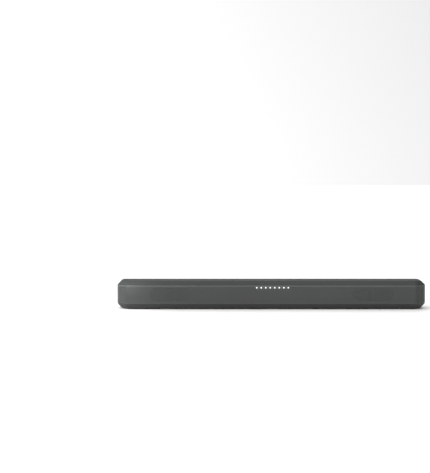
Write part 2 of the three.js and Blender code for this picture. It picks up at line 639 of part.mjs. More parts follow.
// Yoke: the back plate and the pole that stands inside the voice coil.
function yoke(side) {
  const [poleEnd, bevel] = [BASKET.depth - 3, 0.5];
  const pole = COIL_OUTER - COIL.thick - POLE_GAP;
  const back = YOKE_FRONT + YOKE_THICK;
  return turnedBack([
    [0, poleEnd], [pole - bevel, poleEnd], [pole, poleEnd + bevel], [pole, YOKE_FRONT],
    [MAGNET.outer, YOKE_FRONT], [MAGNET.outer, back], [0, back],
  ], side * DRIVER_X);
}

// ---------------------------------------------------------------- chambers

const WIRE_Y = BOARD_FRONT - 1;
const WIRE_Z = BELT_MIDDLE;
const terminalX = [MAIN_BOARD.from + SPEAKER_TERMINAL.fromStart, MAIN_BOARD.to - SPEAKER_TERMINAL.fromEnd];

// Chamber wall: closes one loudspeaker chamber off from the electronics, with a hole for the speaker wire.
function chamberWall(side) {
  const x = side * BAY_HALF;
  const slab = block([x - WALL / 2, x + WALL / 2], [BAFFLE_BACK + FIT, REAR - WALL - FIT], [-FAR, FAR]);
  const hole = WIRE_RADIUS + 2 * FIT;
  const cross = new THREE.CylinderGeometry(hole, hole, WALL * 2, 12).rotateZ(Math.PI / 2);
  return cut(caseForm(WALL + FIT).intersect(slab), [
    lips(TOP_LIPS, FIT),
    lips(BASE_LIPS, FIT),
    solid(cross.translate(x, WIRE_Y, WIRE_Z)),
  ]);
}

// Polyester wadding that fills the back of a chamber.
function wadding(side) {
  const ends = [BAY_HALF + WADDING.fromWall, WIDTH / 2 - WADDING.fromEnd].map((x) => side * x);
  const z = [UNDERSIDE + WALL + WADDING.margin, HEIGHT - WALL - WADDING.margin];
  return block([Math.min(...ends), Math.max(...ends)],
    [YOKE_BACK + WADDING.behindYoke, REAR - LIP_INSET - LIP.wall - WADDING.margin], z);
}

// ---------------------------------------------------------------- electronics

function mainBoard() {
  const { from, to } = MAIN_BOARD;
  const chip = (x, back, size, height) =>
    block([x - size / 2, x + size / 2], [BOARD_FRONT + back, BOARD_FRONT + back + size],
      [BOARD_TOP - 0.5, BOARD_TOP + height]);
  const { back, size, height } = SPEAKER_TERMINAL;
  return joined([
    block([from, to], BOARD_SPAN, [BOARD_BOTTOM, BOARD_TOP]),
    chip(from + 45, 15, 14, 1.4), // sound processor
    chip(from + 61, 18, 7, 1.2), // memory
    ...terminalX.map((x) => chip(x, back, size, height)),
  ]);
}

// Finned aluminium block on the amplifier chip.
function heatsink() {
  const base = BOARD_TOP + FIT;
  const [x0, x1] = [MAIN_BOARD.to - 46, MAIN_BOARD.to - 18];
  const y = [BOARD_FRONT + 8, SOCKET_FACE - AUX.depth - 8.5];
  const fins = 5;
  const finX = Array.from({ length: fins }, (_, i) => x0 + 1 + ((x1 - x0 - 2) * i) / (fins - 1));
  return joined([
    block([x0, x1], y, [base, base + 4]),
    ...finX.map((x) => block([x - 1, x + 1], y, [base + 3, base + 14])),
  ]);
}

// Wireless module: a small board with a screening can.
function wirelessModule() {
  const base = BOARD_TOP + FIT;
  const x = MAIN_BOARD.from + 24;
  const y = BOARD_FRONT + 6;
  return joined([
    block([x - 7, x + 7], [y, y + 20], [base, base + 1]),
    block([x - 5.5, x + 5.5], [y + 6, y + 18], [base + 0.5, base + 2.8]),
  ]);
}

function powerBoard() {
  const { from, to } = POWER_BOARD;
  const item = ([x0, x1], [y0, y1], height) =>
    block([from + x0, from + x1], [BOARD_FRONT + y0, BOARD_FRONT + y1],
      [BOARD_TOP - 0.5, BOARD_TOP + height]);
  return joined([
    block([from, to], BOARD_SPAN, [BOARD_BOTTOM, BOARD_TOP]),
    item([10, 24], [6, 18], 14), // line filter
    item([84, 102], [26, 30], 15), // rectifier's cooling plate
    item([12, 17], [22, 40], 6), // fuse
  ]);
}

// Switching transformer: a wound bobbin between two flanges, in a ferrite frame.
function transformer() {
  const base = BOARD_TOP + FIT;
  const [x, y] = [POWER_BOARD.from + 59, BOARD_FRONT + 11];
  return joined([
    block([x - 11, x + 11], [y - 8, y + 8], [base, base + 3]),
    post(x, y, [base + 2, base + 14], 7),
    block([x - 11, x + 11], [y - 8, y + 8], [base + 13, base + 16]),
  ]);
}

// Reservoir capacitor standing on the power board.
function capacitor() {
  return post(POWER_BOARD.from + 34, BOARD_FRONT + 14, [BOARD_TOP + FIT, BOARD_TOP + 21], 8);
}

// A flexible strip with its width along X.
function strip([x0, x1], legs) {
  return joined(legs.map(([y, z]) => block([x0, x1], y, z)));
}

// Down from the display board, then back along the main board.
function displayRibbon() {
  const y0 = DISPLAY_FACE + BOARD.thick + FIT;
  const top = BOARD_TOP + FIT;
  return strip([MAIN_BOARD.from + 18, MAIN_BOARD.from + 28], [
    [[y0, y0 + RIBBON_THICK], [top, LIGHT_Z - 4]],
    [[y0, BOARD_FRONT + 4], [top, top + RIBBON_THICK]],
  ]);
}

// Straight down from the key board to the main board.
function keyRibbon() {
  const y0 = BUTTON_ROW_Y + KEY_BOARD.halfWidth - 3;
  return strip([MAIN_BOARD.from + 3, MAIN_BOARD.from + 11],
    [[[y0, y0 + RIBBON_THICK], [BOARD_TOP + FIT, KEY_BOARD_TOP - BOARD.thick - FIT]]]);
}

// A round insulated wire along a smooth curve through points.
function wire(points, steps) {
  const path = new THREE.CatmullRomCurve3(points.map((p) => new THREE.Vector3(...p)), false, "centripetal");
  const section = new THREE.Shape();
  section.absarc(0, 0, WIRE_RADIUS, 0, Math.PI * 2);
  const options = { steps, extrudePath: path, curveSegments: 4, bevelEnabled: false };
  return solid(new THREE.ExtrudeGeometry(section, options));
}

// From the amplifier's terminal to the front of the boards, through the chamber wall, to the
// driver's terminal.
function speakerWire(side) {
  const start = terminalX[side < 0 ? 0 : 1];
  const end = side * (DRIVER_X - BASKET.neck - TERMINAL.reach - WIRE_RADIUS - FIT);
  const behindBasket = FLANGE_FRONT + BASKET.depth;
  return wire([
    [start, BOARD_FRONT + SPEAKER_TERMINAL.back - WIRE_RADIUS - FIT, BOARD_TOP + SPEAKER_TERMINAL.height / 2],
    [start + side * 3, WIRE_Y, WIRE_Z],
    [start + side * 9, WIRE_Y, WIRE_Z],
    [side * BAY_HALF, WIRE_Y, WIRE_Z],
    [side * (BAY_HALF + 8), WIRE_Y, WIRE_Z],
    [side * (BAY_HALF + 35), behindBasket + 4, WIRE_Z - 3],
    [end - side * 10, behindBasket + 3, WIRE_Z + 1],
    [end, behindBasket - 0.5, WIRE_Z],
  ], 26);
}

// Low-voltage lead that bridges the two boards.
function powerLead() {
  const z = BOARD_TOP + FIT + WIRE_RADIUS;
  const y = (BOARD_SPAN[0] + BOARD_SPAN[1]) / 2 + 12;
  return wire([
    [POWER_BOARD.to - 6, y, z], [POWER_BOARD.to - 1, y, z + 3],
    [MAIN_BOARD.from + 1, y, z + 3], [MAIN_BOARD.from + 8, y, z],
  ], 12);
}

// ---------------------------------------------------------------- sockets, all facing the back

const socketBody = ({ x, width, height, depth }) =>
  block([x - width / 2, x + width / 2], [SOCKET_FACE - depth, SOCKET_FACE],
    [SOCKET_BASE, SOCKET_BASE + height]);

// Mains inlet: an oblong well with two round pins.
function mainsInlet() {
  const { x } = MAINS_BAY;
  const { width, height, depth, pinRadius, pinSpacing, pinSetback } = INLET_WELL;
  const z = SOCKET_BASE + INLET.height / 2;
  const floor = SOCKET_FACE - depth;
  const well = run(roundedRectangle(x, z, width, height, height / 2 - 0.01), [floor, SOCKET_FACE + 1]);
  const pins = both((side) =>
    pin(x + (side * pinSpacing) / 2, z, [floor - 1, SOCKET_FACE - pinSetback], pinRadius, 8));
  return joined([socketBody({ x, ...INLET }).subtract(well), ...pins]);
}

// A thin metal shell with a contact tongue in its middle.
function shellSocket({ x, width, height, depth, wall, tongue }) {
  const open = block([x - width / 2 + wall, x + width / 2 - wall], [SOCKET_FACE - depth + 2, SOCKET_FACE + 1],
    [SOCKET_BASE + wall, SOCKET_BASE + height - wall]);
  const middle = SOCKET_BASE + height / 2;
  const blade = block([x - width / 2 + wall + 1, x + width / 2 - wall - 1],
    [SOCKET_FACE - depth + 1, SOCKET_FACE - 1.5], [middle - tongue / 2, middle + tongue / 2]);
  return socketBody({ x, width, height, depth }).subtract(open).add(blade);
}

// Optical socket: a square well that a sprung shutter closes.
const OPTICAL_TOP = SOCKET_BASE + OPTICAL.size - OPTICAL.wall;
function opticalSocket() {
  const { x, size, depth, wall, cavity } = OPTICAL;
  const half = size / 2 - wall;
  const well = block([x - half, x + half], [SOCKET_FACE - cavity, SOCKET_FACE + 1],
    [SOCKET_BASE + wall, OPTICAL_TOP]);
  return socketBody({ x, width: size, height: size, depth }).subtract(well);
}

// Shutter: a flap hinged along its top edge, which a plug pushes inwards.
function opticalShutter() {
  const half = OPTICAL.size / 2 - OPTICAL.wall - SHUTTER.gap;
  const back = SOCKET_FACE - SHUTTER.setback;
  return block([OPTICAL.x - half, OPTICAL.x + half], [back - SHUTTER.thick, back],
    [SOCKET_BASE + OPTICAL.wall + SHUTTER.gap, OPTICAL_TOP - SHUTTER.gap - FIT]);
}

// Line-in jack: a square body with a round nose and bore.
function auxSocket() {
  const { x, size, depth, bore, nose } = AUX;
  const z = SOCKET_BASE + size / 2;
  const shoulder = BAY_FLOOR_FRONT - FIT;
  return joined([
    block([x - size / 2, x + size / 2], [SOCKET_FACE - depth, shoulder], [SOCKET_BASE, SOCKET_BASE + size]),
    pin(x, z, [shoulder - 1, SOCKET_FACE], nose),
  ]).subtract(pin(x, z, [SOCKET_FACE - depth + 2, SOCKET_FACE + 1], bore));
}

// ---------------------------------------------------------------- materials

const finish = (color, roughness, metalness = 0) =>
  new THREE.MeshStandardMaterial({ color, roughness, metalness });
const caseGrey = finish("#4d5150", 0.5);
const grilleGrey = finish("#50534f", 0.45, 0.3);
const blackPlastic = finish("#1c1d1e", 0.6);
const rubber = finish("#151515", 0.9);
const keyGrey = finish("#3a3d3d", 0.55);
const clearWhite = finish("#f4f6f4", 0.2);
const boardGreen = finish("#1f4a33", 0.6);
const paper = finish("#26262a", 0.9);
const plate = finish("#b8babc", 0.35, 0.9);
const ferrite = finish("#3b3b3d", 0.7);
const copper = finish("#b06a3b", 0.35, 0.9);
const cloth = finish("#c9a24a", 0.95);
const wool = finish("#d9d9d4", 1);
const aluminium = finish("#c4c6c9", 0.4, 0.9);
const wireGrey = finish("#6c6f72", 0.6);

// ---------------------------------------------------------------- assembly

const soundbar = new THREE.Group();

// Adds one piece to the bar as a named mesh.
function add(name, body, material) {
  const { numProp, numVert, vertProperties, triVerts } = body.getMesh();
  const positions = new Float32Array(numVert * 3);
  for (let i = 0; i < numVert; i++) {
    positions.set(vertProperties.subarray(i * numProp, i * numProp + 3), i * 3);
  }
  const geometry = new THREE.BufferGeometry();
  geometry.setAttribute("position", new THREE.BufferAttribute(positions, 3));
  geometry.setIndex(new THREE.BufferAttribute(new Uint32Array(triVerts), 1));
  geometry.computeVertexNormals();
  const mesh = new THREE.Mesh(geometry, material);
  mesh.name = name;
  soundbar.add(mesh);
}

add("top_cover", topCover(), caseGrey);
add("bottom_cover", bottomCover(), blackPlastic);
add("front_grille", frontGrille(), grilleGrey);
add("front_baffle", frontBaffle(), blackPlastic);
add("rear_panel", rearPanel(), blackPlastic);
for (const spot of footSpots()) add(spot[0], foot(spot), rubber);
for (const spot of bossSpots) add(`case_screw_${spot[0]}`, caseScrew(spot), plate);

add("light_guide", lightGuide(), clearWhite);
add("display_board", displayBoard(), boardGreen);
add("remote_receiver", receiver(), blackPlastic);
buttonNames.forEach((name, i) => add(`${name}_button`, button(buttonX[i]), keyGrey));
add("key_board", keyBoard(), boardGreen);

for (const [name, side] of [["left", -1], ["right", 1]]) {
  add(`${name}_driver_frame`, driverFrame(side), plate);
  add(`${name}_surround`, surround(side), rubber);
  add(`${name}_cone`, cone(side), paper);
  add(`${name}_dust_cap`, dustCap(side), paper);
  add(`${name}_voice_coil`, voiceCoil(side), copper);
  add(`${name}_spider`, spider(side), cloth);
  add(`${name}_magnet`, magnet(side), ferrite);
  add(`${name}_yoke`, yoke(side), plate);
  add(`${name}_chamber_wall`, chamberWall(side), blackPlastic);
  add(`${name}_wadding`, wadding(side), wool);
  add(`${name}_speaker_wire`, speakerWire(side), wireGrey);
}

add("main_board", mainBoard(), boardGreen);
add("amplifier_heatsink", heatsink(), aluminium);
add("wireless_module", wirelessModule(), plate);
add("power_board", powerBoard(), boardGreen);
add("mains_transformer", transformer(), cloth);
add("reservoir_capacitor", capacitor(), ferrite);
add("display_ribbon", displayRibbon(), wool);
add("key_ribbon", keyRibbon(), wool);
add("power_lead", powerLead(), wireGrey);

add("mains_inlet", mainsInlet(), blackPlastic);
add("video_socket", shellSocket(VIDEO), plate);
add("data_socket", shellSocket(DATA), plate);
add("optical_socket", opticalSocket(), blackPlastic);
add("optical_shutter", opticalShutter(), blackPlastic);
add("aux_socket", auxSocket(), blackPlastic);

export default soundbar;
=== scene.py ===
import math

import bmesh
import bpy
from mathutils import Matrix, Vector
from mathutils.geometry import tessellate_polygon


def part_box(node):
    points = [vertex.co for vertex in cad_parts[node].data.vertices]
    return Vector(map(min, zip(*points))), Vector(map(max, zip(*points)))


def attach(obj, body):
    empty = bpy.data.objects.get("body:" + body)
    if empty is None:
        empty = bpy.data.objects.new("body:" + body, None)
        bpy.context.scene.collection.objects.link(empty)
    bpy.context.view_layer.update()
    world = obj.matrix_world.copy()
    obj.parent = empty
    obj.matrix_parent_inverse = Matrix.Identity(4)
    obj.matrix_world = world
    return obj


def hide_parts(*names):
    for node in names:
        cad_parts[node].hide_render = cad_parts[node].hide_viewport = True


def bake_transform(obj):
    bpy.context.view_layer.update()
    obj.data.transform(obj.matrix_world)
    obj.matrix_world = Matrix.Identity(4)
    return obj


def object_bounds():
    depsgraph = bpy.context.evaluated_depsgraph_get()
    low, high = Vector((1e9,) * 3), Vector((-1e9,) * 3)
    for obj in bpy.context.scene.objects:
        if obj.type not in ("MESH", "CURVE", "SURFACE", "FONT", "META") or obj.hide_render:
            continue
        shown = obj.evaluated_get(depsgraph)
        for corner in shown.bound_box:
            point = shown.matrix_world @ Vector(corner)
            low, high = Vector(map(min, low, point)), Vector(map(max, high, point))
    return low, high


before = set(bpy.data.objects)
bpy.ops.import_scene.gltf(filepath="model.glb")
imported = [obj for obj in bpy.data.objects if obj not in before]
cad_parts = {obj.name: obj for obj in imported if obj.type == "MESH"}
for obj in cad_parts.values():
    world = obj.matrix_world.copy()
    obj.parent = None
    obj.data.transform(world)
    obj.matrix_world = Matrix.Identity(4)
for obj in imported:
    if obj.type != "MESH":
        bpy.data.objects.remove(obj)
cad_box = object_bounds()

# ---------------------------------------------------------------- camera
# A long lens at sitting height, a little left of the bar's middle and tipped down slightly. It shows the
# whole front, a sliver of the roof and both cut corners, and leaves a wide pale space above the bar.
MM = 0.001
lowest, highest = cad_box
CAMERA_DISTANCE = 3500 * MM
CAMERA_LEFT = 128 * MM
CAMERA_RISE = math.radians(4.6)
CAMERA_TIP = math.radians(2.425)
CAMERA_LENS = 118.2

lens = bpy.data.cameras.new("camera")
lens.lens = CAMERA_LENS
lens.sensor_width = 36
lens.clip_start, lens.clip_end = 0.1, 100
camera = bpy.data.objects.new("camera", lens)
camera.location = (
    -CAMERA_LEFT,
    lowest.y - CAMERA_DISTANCE,
    (lowest.z + highest.z) / 2 + CAMERA_DISTANCE * math.tan(CAMERA_RISE),
)
camera.rotation_euler = (math.pi / 2 - CAMERA_TIP, 0, 0)
bpy.context.scene.collection.objects.link(camera)
bpy.context.scene.camera = camera

# ---------------------------------------------------------------- floor and light
# A plain white sweep under a white sky, brightest round the horizon and on the left. Two softboxes add to
# it: a small one close to the left end, for the cut corner, and a long one in front, for the roof's edge.


def linear(code):
    """An sRGB colour such as "#4d5150" as linear RGBA."""
    parts = [int(code[i:i + 2], 16) / 255 for i in (1, 3, 5)]
    return (*(c / 12.92 if c <= 0.04045 else ((c + 0.055) / 1.055) ** 2.4 for c in parts), 1)


def put(tree, kind, inputs, **settings):
    """Adds a node. A value in inputs is a number or colour to set, or another node's output to link."""
    made = tree.nodes.new(kind)
    for name, value in settings.items():
        setattr(made, name, value)
    for socket, value in inputs.items():
        if isinstance(value, bpy.types.NodeSocket):
            tree.links.new(value, made.inputs[socket])
        else:
            made.inputs[socket].default_value = value
    return made


# Plain white stays plain white under the standard view transform.
bpy.context.scene.view_settings.view_transform = "Standard"

SKY_LEFT, SKY_RIGHT = 2.1, 0.0
SKY_HORIZON, SKY_ZENITH = 1.0, 0.5
sky = bpy.data.worlds.new("studio_sky")
bpy.context.scene.world = sky
sky.use_nodes = True
sky.node_tree.nodes.clear()
ways = put(sky.node_tree, "ShaderNodeTexCoord", {})
sides = put(sky.node_tree, "ShaderNodeSeparateXYZ", {0: ways.outputs["Generated"]})
across = put(sky.node_tree, "ShaderNodeMapRange", {
    "Value": sides.outputs["X"], "From Min": -1, "From Max": 1, "To Min": SKY_LEFT, "To Max": SKY_RIGHT,
})
upwards = put(sky.node_tree, "ShaderNodeMapRange", {
    "Value": sides.outputs["Z"], "To Min": SKY_HORIZON, "To Max": SKY_ZENITH,
})
level = put(sky.node_tree, "ShaderNodeMath", {
    0: across.outputs[0], 1: upwards.outputs[0],
}, operation="MULTIPLY")
glow = put(sky.node_tree, "ShaderNodeBackground", {"Color": linear("#ffffff"), "Strength": level.outputs[0]})
put(sky.node_tree, "ShaderNodeOutputWorld", {"Surface": glow.outputs[0]})

FLOOR_HALF = 30
floor_mesh = bpy.data.meshes.new("floor")
floor_mesh.from_pydata(
    [(x * FLOOR_HALF, y * FLOOR_HALF, 0) for x, y in ((-1, -1), (1, -1), (1, 1), (-1, 1))], [], [(0, 1, 2, 3)]
)
floor = bpy.data.objects.new("floor", floor_mesh)
bpy.context.scene.collection.objects.link(floor)
paper = bpy.data.materials.new("white_paper_sweep")
paper.use_nodes = True
for socket, value in (
    ("Base Color", linear("#fbfbfa")), ("Roughness", 0.9), ("Specular IOR Level", 0.1),
):
    paper.node_tree.nodes["Principled BSDF"].inputs[socket].default_value = value
floor_mesh.materials.append(paper)


def softbox(name, place, aim, size, watts):
    """A rectangular lamp of that size in metres, turned to face aim."""
    lamp = bpy.data.lights.new(name, "AREA")
    lamp.shape = "RECTANGLE"
    lamp.size, lamp.size_y = size
    lamp.energy = watts
    stand = bpy.data.objects.new(name, lamp)
    stand.location = place
    stand.rotation_euler = (Vector(aim) - Vector(place)).to_track_quat("-Z", "Y").to_euler()
    bpy.context.scene.collection.objects.link(stand)


left_corner = (lowest.x, lowest.y, highest.z / 2)
softbox("corner_softbox", (lowest.x + 0.01, lowest.y - 0.07, 0.075), left_corner, (0.05, 0.05), 0.055)
softbox("edge_softbox", (-0.5, lowest.y - 1.15, 0.68), (0, lowest.y, highest.z), (2.2, 0.16), 8)

# The sweep has two wide lamps of its own, so that it stays white while the bar stays dark: one overhead, and
# one low behind the bar that lays a long soft shadow in front of it.
sweep_only = bpy.data.collections.new("sweep_only")
sweep_only.objects.link(floor)
for lamp_name, strength, spread, tilt in (("sweep_lamp_high", 0.7, 110, 0), ("sweep_lamp_low", 1.3, 40, -64)):
    sweep_lamp = bpy.data.lights.new(lamp_name, "SUN")
    sweep_lamp.energy = strength
    sweep_lamp.angle = math.radians(spread)
    sweep_stand = bpy.data.objects.new(lamp_name, sweep_lamp)
    sweep_stand.rotation_euler.x = math.radians(tilt)
    bpy.context.scene.collection.objects.link(sweep_stand)
    sweep_stand.light_linking.receiver_collection = sweep_only

# ---------------------------------------------------------------- bottom cover
# The tray of the case, injection moulded in black ABS with a fine spark-eroded texture. Its screw towers
# meet the roof's bosses, short posts carry the two boards, and four wells take the glued feet.


class Body:
    """The points and faces of one piece, put together ring by ring. A ring is a list of point numbers."""

    def __init__(self):
        self.points = []
        self.faces = []
        self.finishes = []
        self.finish = 0

    def ring(self, points):
        start = len(self.points)
        self.points.extend(Vector(p) for p in points)
        return list(range(start, len(self.points)))

    def face(self, *corners):
        self.faces.append(corners)
        self.finishes.append(self.finish)

    def wall(self, *rings, closed=True):
        """Four-sided faces between each ring and the next."""
        for near, far in zip(rings, rings[1:]):
            for i in range(len(near) if closed else len(near) - 1):
                j = (i + 1) % len(near)
                self.face(near[i], near[j], far[j], far[i])

    def lid(self, outline, *holes):
        """A flat face that fills outline and is open at each hole."""
        flat = [i for ring in (outline, *holes) for i in ring]
        for corners in tessellate_polygon([[self.points[i] for i in ring] for ring in (outline, *holes)]):
            self.face(*(flat[i] for i in corners))

    def hub(self, ring, point):
        """Three-sided faces from a ring to one point."""
        centre, = self.ring([point])
        for i, corner in enumerate(ring):
            self.face(corner, ring[(i + 1) % len(ring)], centre)

    def skin(self, *rings):
        """A wall with a lid on each end."""
        self.wall(*rings)
        self.lid(rings[0])
        self.lid(rings[-1])

    def block(self, low, high, ease=0.15 * MM, steps=1):
        """A block between two opposite corners, with all its edges eased."""
        (x0, x1), (y0, y1), (z0, z1) = (sorted(pair) for pair in zip(low, high))
        ease = min(ease, min(x1 - x0, y1 - y0, z1 - z0) / 4)
        levels = ((z0, ease), (z0 + ease, 0), (z1 - ease, 0), (z1, ease))
        self.skin(*(
            self.ring(rounded_box(
                (x0 + x1) / 2, (y0 + y1) / 2, z, ((x1 - x0) / 2 - inset, (y1 - y0) / 2 - inset), ease, steps,
            ))
            for z, inset in levels
        ))

    def piece(self, name, *materials, crease=35):
        """The finished object, shaded smooth except along edges that turn by more than crease degrees."""
        mesh = bpy.data.meshes.new(name)
        mesh.from_pydata([tuple(p) for p in self.points], [], self.faces)
        for material in materials:
            mesh.materials.append(material)
        mesh.polygons.foreach_set("material_index", self.finishes)
        shaper = bmesh.new()
        shaper.from_mesh(mesh)
        bmesh.ops.recalc_face_normals(shaper, faces=shaper.faces)
        for solid in solids_of(shaper):
            volume = sum(f.calc_center_median().dot(f.normal) * f.calc_area() for f in solid)
            if volume < 0:
                bmesh.ops.reverse_faces(shaper, faces=solid)
        shaper.to_mesh(mesh)
        shaper.free()
        mesh.shade_smooth()
        mesh.set_sharp_from_angle(angle=math.radians(crease))
        made = bpy.data.objects.new(name, mesh)
        bpy.context.scene.collection.objects.link(made)
        return made


def solids_of(shaper):
    """The faces of each separate closed solid in a mesh."""
    waiting = set(shaper.faces)
    while waiting:
        solid, edge = [], [waiting.pop()]
        while edge:
            face = edge.pop()
            solid.append(face)
            for side in face.edges:
                for other in side.link_faces:
                    if other in waiting:
                        waiting.remove(other)
                        edge.append(other)
        yield solid


def stands_for(piece, body, slot, *nodes):
    """Gives a finished piece its body and the CAD nodes that it replaces. slot is not used."""
    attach(piece, body)
    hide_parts(*nodes)


NEARLY_HALF = 0.48


def softened(corners, reach, steps=6, closed=True):
    """Straights between the corners, with each corner eased into a curve that starts reach away from it,
    or almost halfway along the shorter straight beside it where that comes sooner."""
    reaches = reach if isinstance(reach, (list, tuple)) else [reach] * len(corners)
    eased = []
    for i, corner in enumerate(corners):
        if not closed and i in (0, len(corners) - 1):
            eased.append(corner.copy())
            continue
        ways = [other - corner for other in (corners[i - 1], corners[(i + 1) % len(corners)])]
        eased_from = min(reaches[i], *(way.length * NEARLY_HALF for way in ways))
        start, end = (corner + way.normalized() * eased_from for way in ways)
        for step in range(steps + 1):
            t = step / steps
            eased.append(start.lerp(corner, t).lerp(corner.lerp(end, t), t))
    return eased


WALL = 2.5 * MM
SEAM = 0.6 * MM
FRONT_CORNER = (20 * MM, 22 * MM)
REAR_CORNER = 10 * MM
CORNER_SOFTENING = 6 * MM
BASE_SLOPE = (9 * MM, 11 * MM)
TOP_SLOPE = (9 * MM, 9 * MM)
FIT = 0.3 * MM
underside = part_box("bottom_cover")[0].z
belt_low, belt_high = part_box("front_grille")[0].z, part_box("front_grille")[1].z
front, rear, half_length = lowest.y, highest.y, highest.x


def plan(inset):
    """The case's eight corners seen from above, from the front left, with every side moved in by inset."""
    across, back = FRONT_CORNER
    corners = [Vector(p) for p in (
        (-half_length + across, front), (half_length - across, front),
        (half_length, front + back), (half_length, rear - REAR_CORNER),
        (half_length - REAR_CORNER, rear), (-half_length + REAR_CORNER, rear),
        (-half_length, rear - REAR_CORNER), (-half_length, front + back),
    )]
    sides = [(corners[(i + 1) % 8] - corner).normalized() for i, corner in enumerate(corners)]
    outwards = [Vector((side.y, -side.x)) for side in sides]
    moved = []
    for i, corner in enumerate(corners):
        before, after = outwards[i - 1], outwards[i]
        moved.append(corner - (before + after) * inset / (1 + before.dot(after)))
    return moved


def case_ring(inset, z):
    return [(p.x, p.y, z) for p in softened(plan(inset), CORNER_SOFTENING)]


def circle(x, y, z, radius, points=32):
    turns = [math.tau * i / points for i in range(points)]
    return [(x + radius * math.cos(t), y + radius * math.sin(t), z) for t in turns]


def rounded_box(x, y, z, half, corner, steps=5):
    """A level rectangle with eased corners, half[0] by half[1] each way from x, y."""
    corners = [Vector((x + i * half[0], y + j * half[1])) for i, j in ((-1, -1), (1, -1), (1, 1), (-1, 1))]
    return [(p.x, p.y, z) for p in softened(corners, corner, steps)]


def slope_inside(slope, depth):
    """A slope's run and rise once every face of the case has moved in by depth."""
    run, rise = slope
    slant = math.hypot(run, rise)
    return run + depth * (slant - run) / rise, rise + depth * (slant - rise) / run


EDGE_ROLL = 4 * MM
TOP_TURN = math.atan2(TOP_SLOPE[0], TOP_SLOPE[1])
BASE_TURN = math.atan2(BASE_SLOPE[0], BASE_SLOPE[1])


def rolled_edge(turn, past_seam, steps=5):
    """The eased edge between the upright belt and a slope, as (inset, distance past the sharp edge). It
    covers the belt's side of the seam, or with past_seam the slope's side."""
    tangent = EDGE_ROLL * math.tan(turn / 2)
    low = math.asin((tangent + SEAM / 2) / EDGE_ROLL) if past_seam else 0
    high = turn if past_seam else math.asin((tangent - SEAM / 2) / EDGE_ROLL)
    angles = [low + (high - low) * i / steps for i in range(steps + 1)]
    return [(EDGE_ROLL * (1 - math.cos(a)), EDGE_ROLL * math.sin(a) - tangent) for a in angles]


def middle_of(node):
    low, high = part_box(node)
    return (low + high) / 2


def surface(name, colour, roughness, **sockets):
    """A material with the shader's own values set, and its object coordinates, which are in metres."""
    made = bpy.data.materials.new(name)
    made.use_nodes = True
    shader = made.node_tree.nodes["Principled BSDF"]
    shader.inputs["Base Color"].default_value = linear(colour)
    shader.inputs["Roughness"].default_value = roughness
    for socket, value in sockets.items():
        shader.inputs[socket.replace("_", " ")].default_value = value
    place = put(made.node_tree, "ShaderNodeTexCoord", {}).outputs["Object"]
    return made, shader, place


def grained(name, colours, roughness, grain, depth, cloud=40 * MM, **sockets):
    """A surface whose colour drifts between two tones over cloud, with a bumped grain of that size and depth.
    The roughness is a pair, and follows the grain."""
    made, shader, place = surface(name, colours[0], roughness[0], **sockets)
    tree = made.node_tree
    drift = put(tree, "ShaderNodeTexNoise", {"Vector": place, "Scale": 1 / cloud, "Detail": 3})
    tones = put(tree, "ShaderNodeMix", {
        "Factor": drift.outputs[0], 6: linear(colours[0]), 7: linear(colours[1]),
    }, data_type="RGBA")
    tree.links.new(tones.outputs[2], shader.inputs["Base Color"])
    fine = put(tree, "ShaderNodeTexNoise", {"Vector": place, "Scale": 1 / grain, "Detail": 4})
    gloss = put(tree, "ShaderNodeMapRange", {
        "Value": fine.outputs[0], "From Min": 0.3, "From Max": 0.7,
        "To Min": roughness[0], "To Max": roughness[1],
    })
    tree.links.new(gloss.outputs[0], shader.inputs["Roughness"])
    relief = put(tree, "ShaderNodeBump", {"Height": fine.outputs[0], "Strength": 0.5, "Distance": depth})
    tree.links.new(relief.outputs[0], shader.inputs["Normal"])
    return made


def painted_edge_highlight(material, height, reach, colour):
    """Paints a paler band on a surface within reach of that height: a painted highlight along the rolled
    edge.
    """
    tree = material.node_tree
    base = tree.nodes["Principled BSDF"].inputs["Base Color"]
    place = put(tree, "ShaderNodeTexCoord", {}).outputs["Object"]
    axes = put(tree, "ShaderNodeSeparateXYZ", {"Vector": place})
    rise = put(tree, "ShaderNodeMath", {0: axes.outputs["Z"], 1: height}, operation="SUBTRACT")
    away = put(tree, "ShaderNodeMath", {0: rise.outputs[0]}, operation="ABSOLUTE")
    share = put(tree, "ShaderNodeMapRange", {
        "Value": away.outputs[0], "From Min": reach / 2, "From Max": reach, "To Min": 1, "To Max": 0,
    }, interpolation_type="SMOOTHSTEP")
    painted_highlight = put(tree, "ShaderNodeMix", {
        "Factor": share.outputs[0], 6: base.links[0].from_socket, 7: linear(colour),
    }, data_type="RGBA")
    tree.links.new(painted_highlight.outputs[2], base)


# Black ABS, spark-textured: nearly matt, with a pebbled grain of about half a millimetre. Its upper edge
# carries a paler band of colour, which is a painted highlight.
black_abs = grained("black_abs_spark_textured", ("#2a2b2b", "#303131"), (0.5, 0.62), 0.5 * MM, 0.05 * MM)
painted_edge_highlight(black_abs, belt_low, 3 * MM, "#363938")

SCREW_NAMES = [f"case_screw_{side}_{spot}" for side in ("left", "right") for spot in ("end", "front", "back")]
FOOT_NAMES = [f"foot_{end}_{side}" for end in ("front", "rear") for side in ("left", "right")]
FOOT_CORNER = 4 * MM
SEAM_EASE = 0.1 * MM
BASE_EDGE = 2.5 * MM
LIP = (1.7 * MM, 5 * MM)
LIP_INSET = 4.2 * MM
LIP_ROOT = 3 * MM
TOWER = 5 * MM
SCREW_BORE = 1.8 * MM
COUNTERBORE = 3.4 * MM
screw_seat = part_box(SCREW_NAMES[0])[0].z + 2 * MM
tower_top = screw_seat + 5 * MM
board_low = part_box("main_board")[0].z
POST = 3 * MM
POST_INSET = 5 * MM
POST_BACK = 7.4 * MM


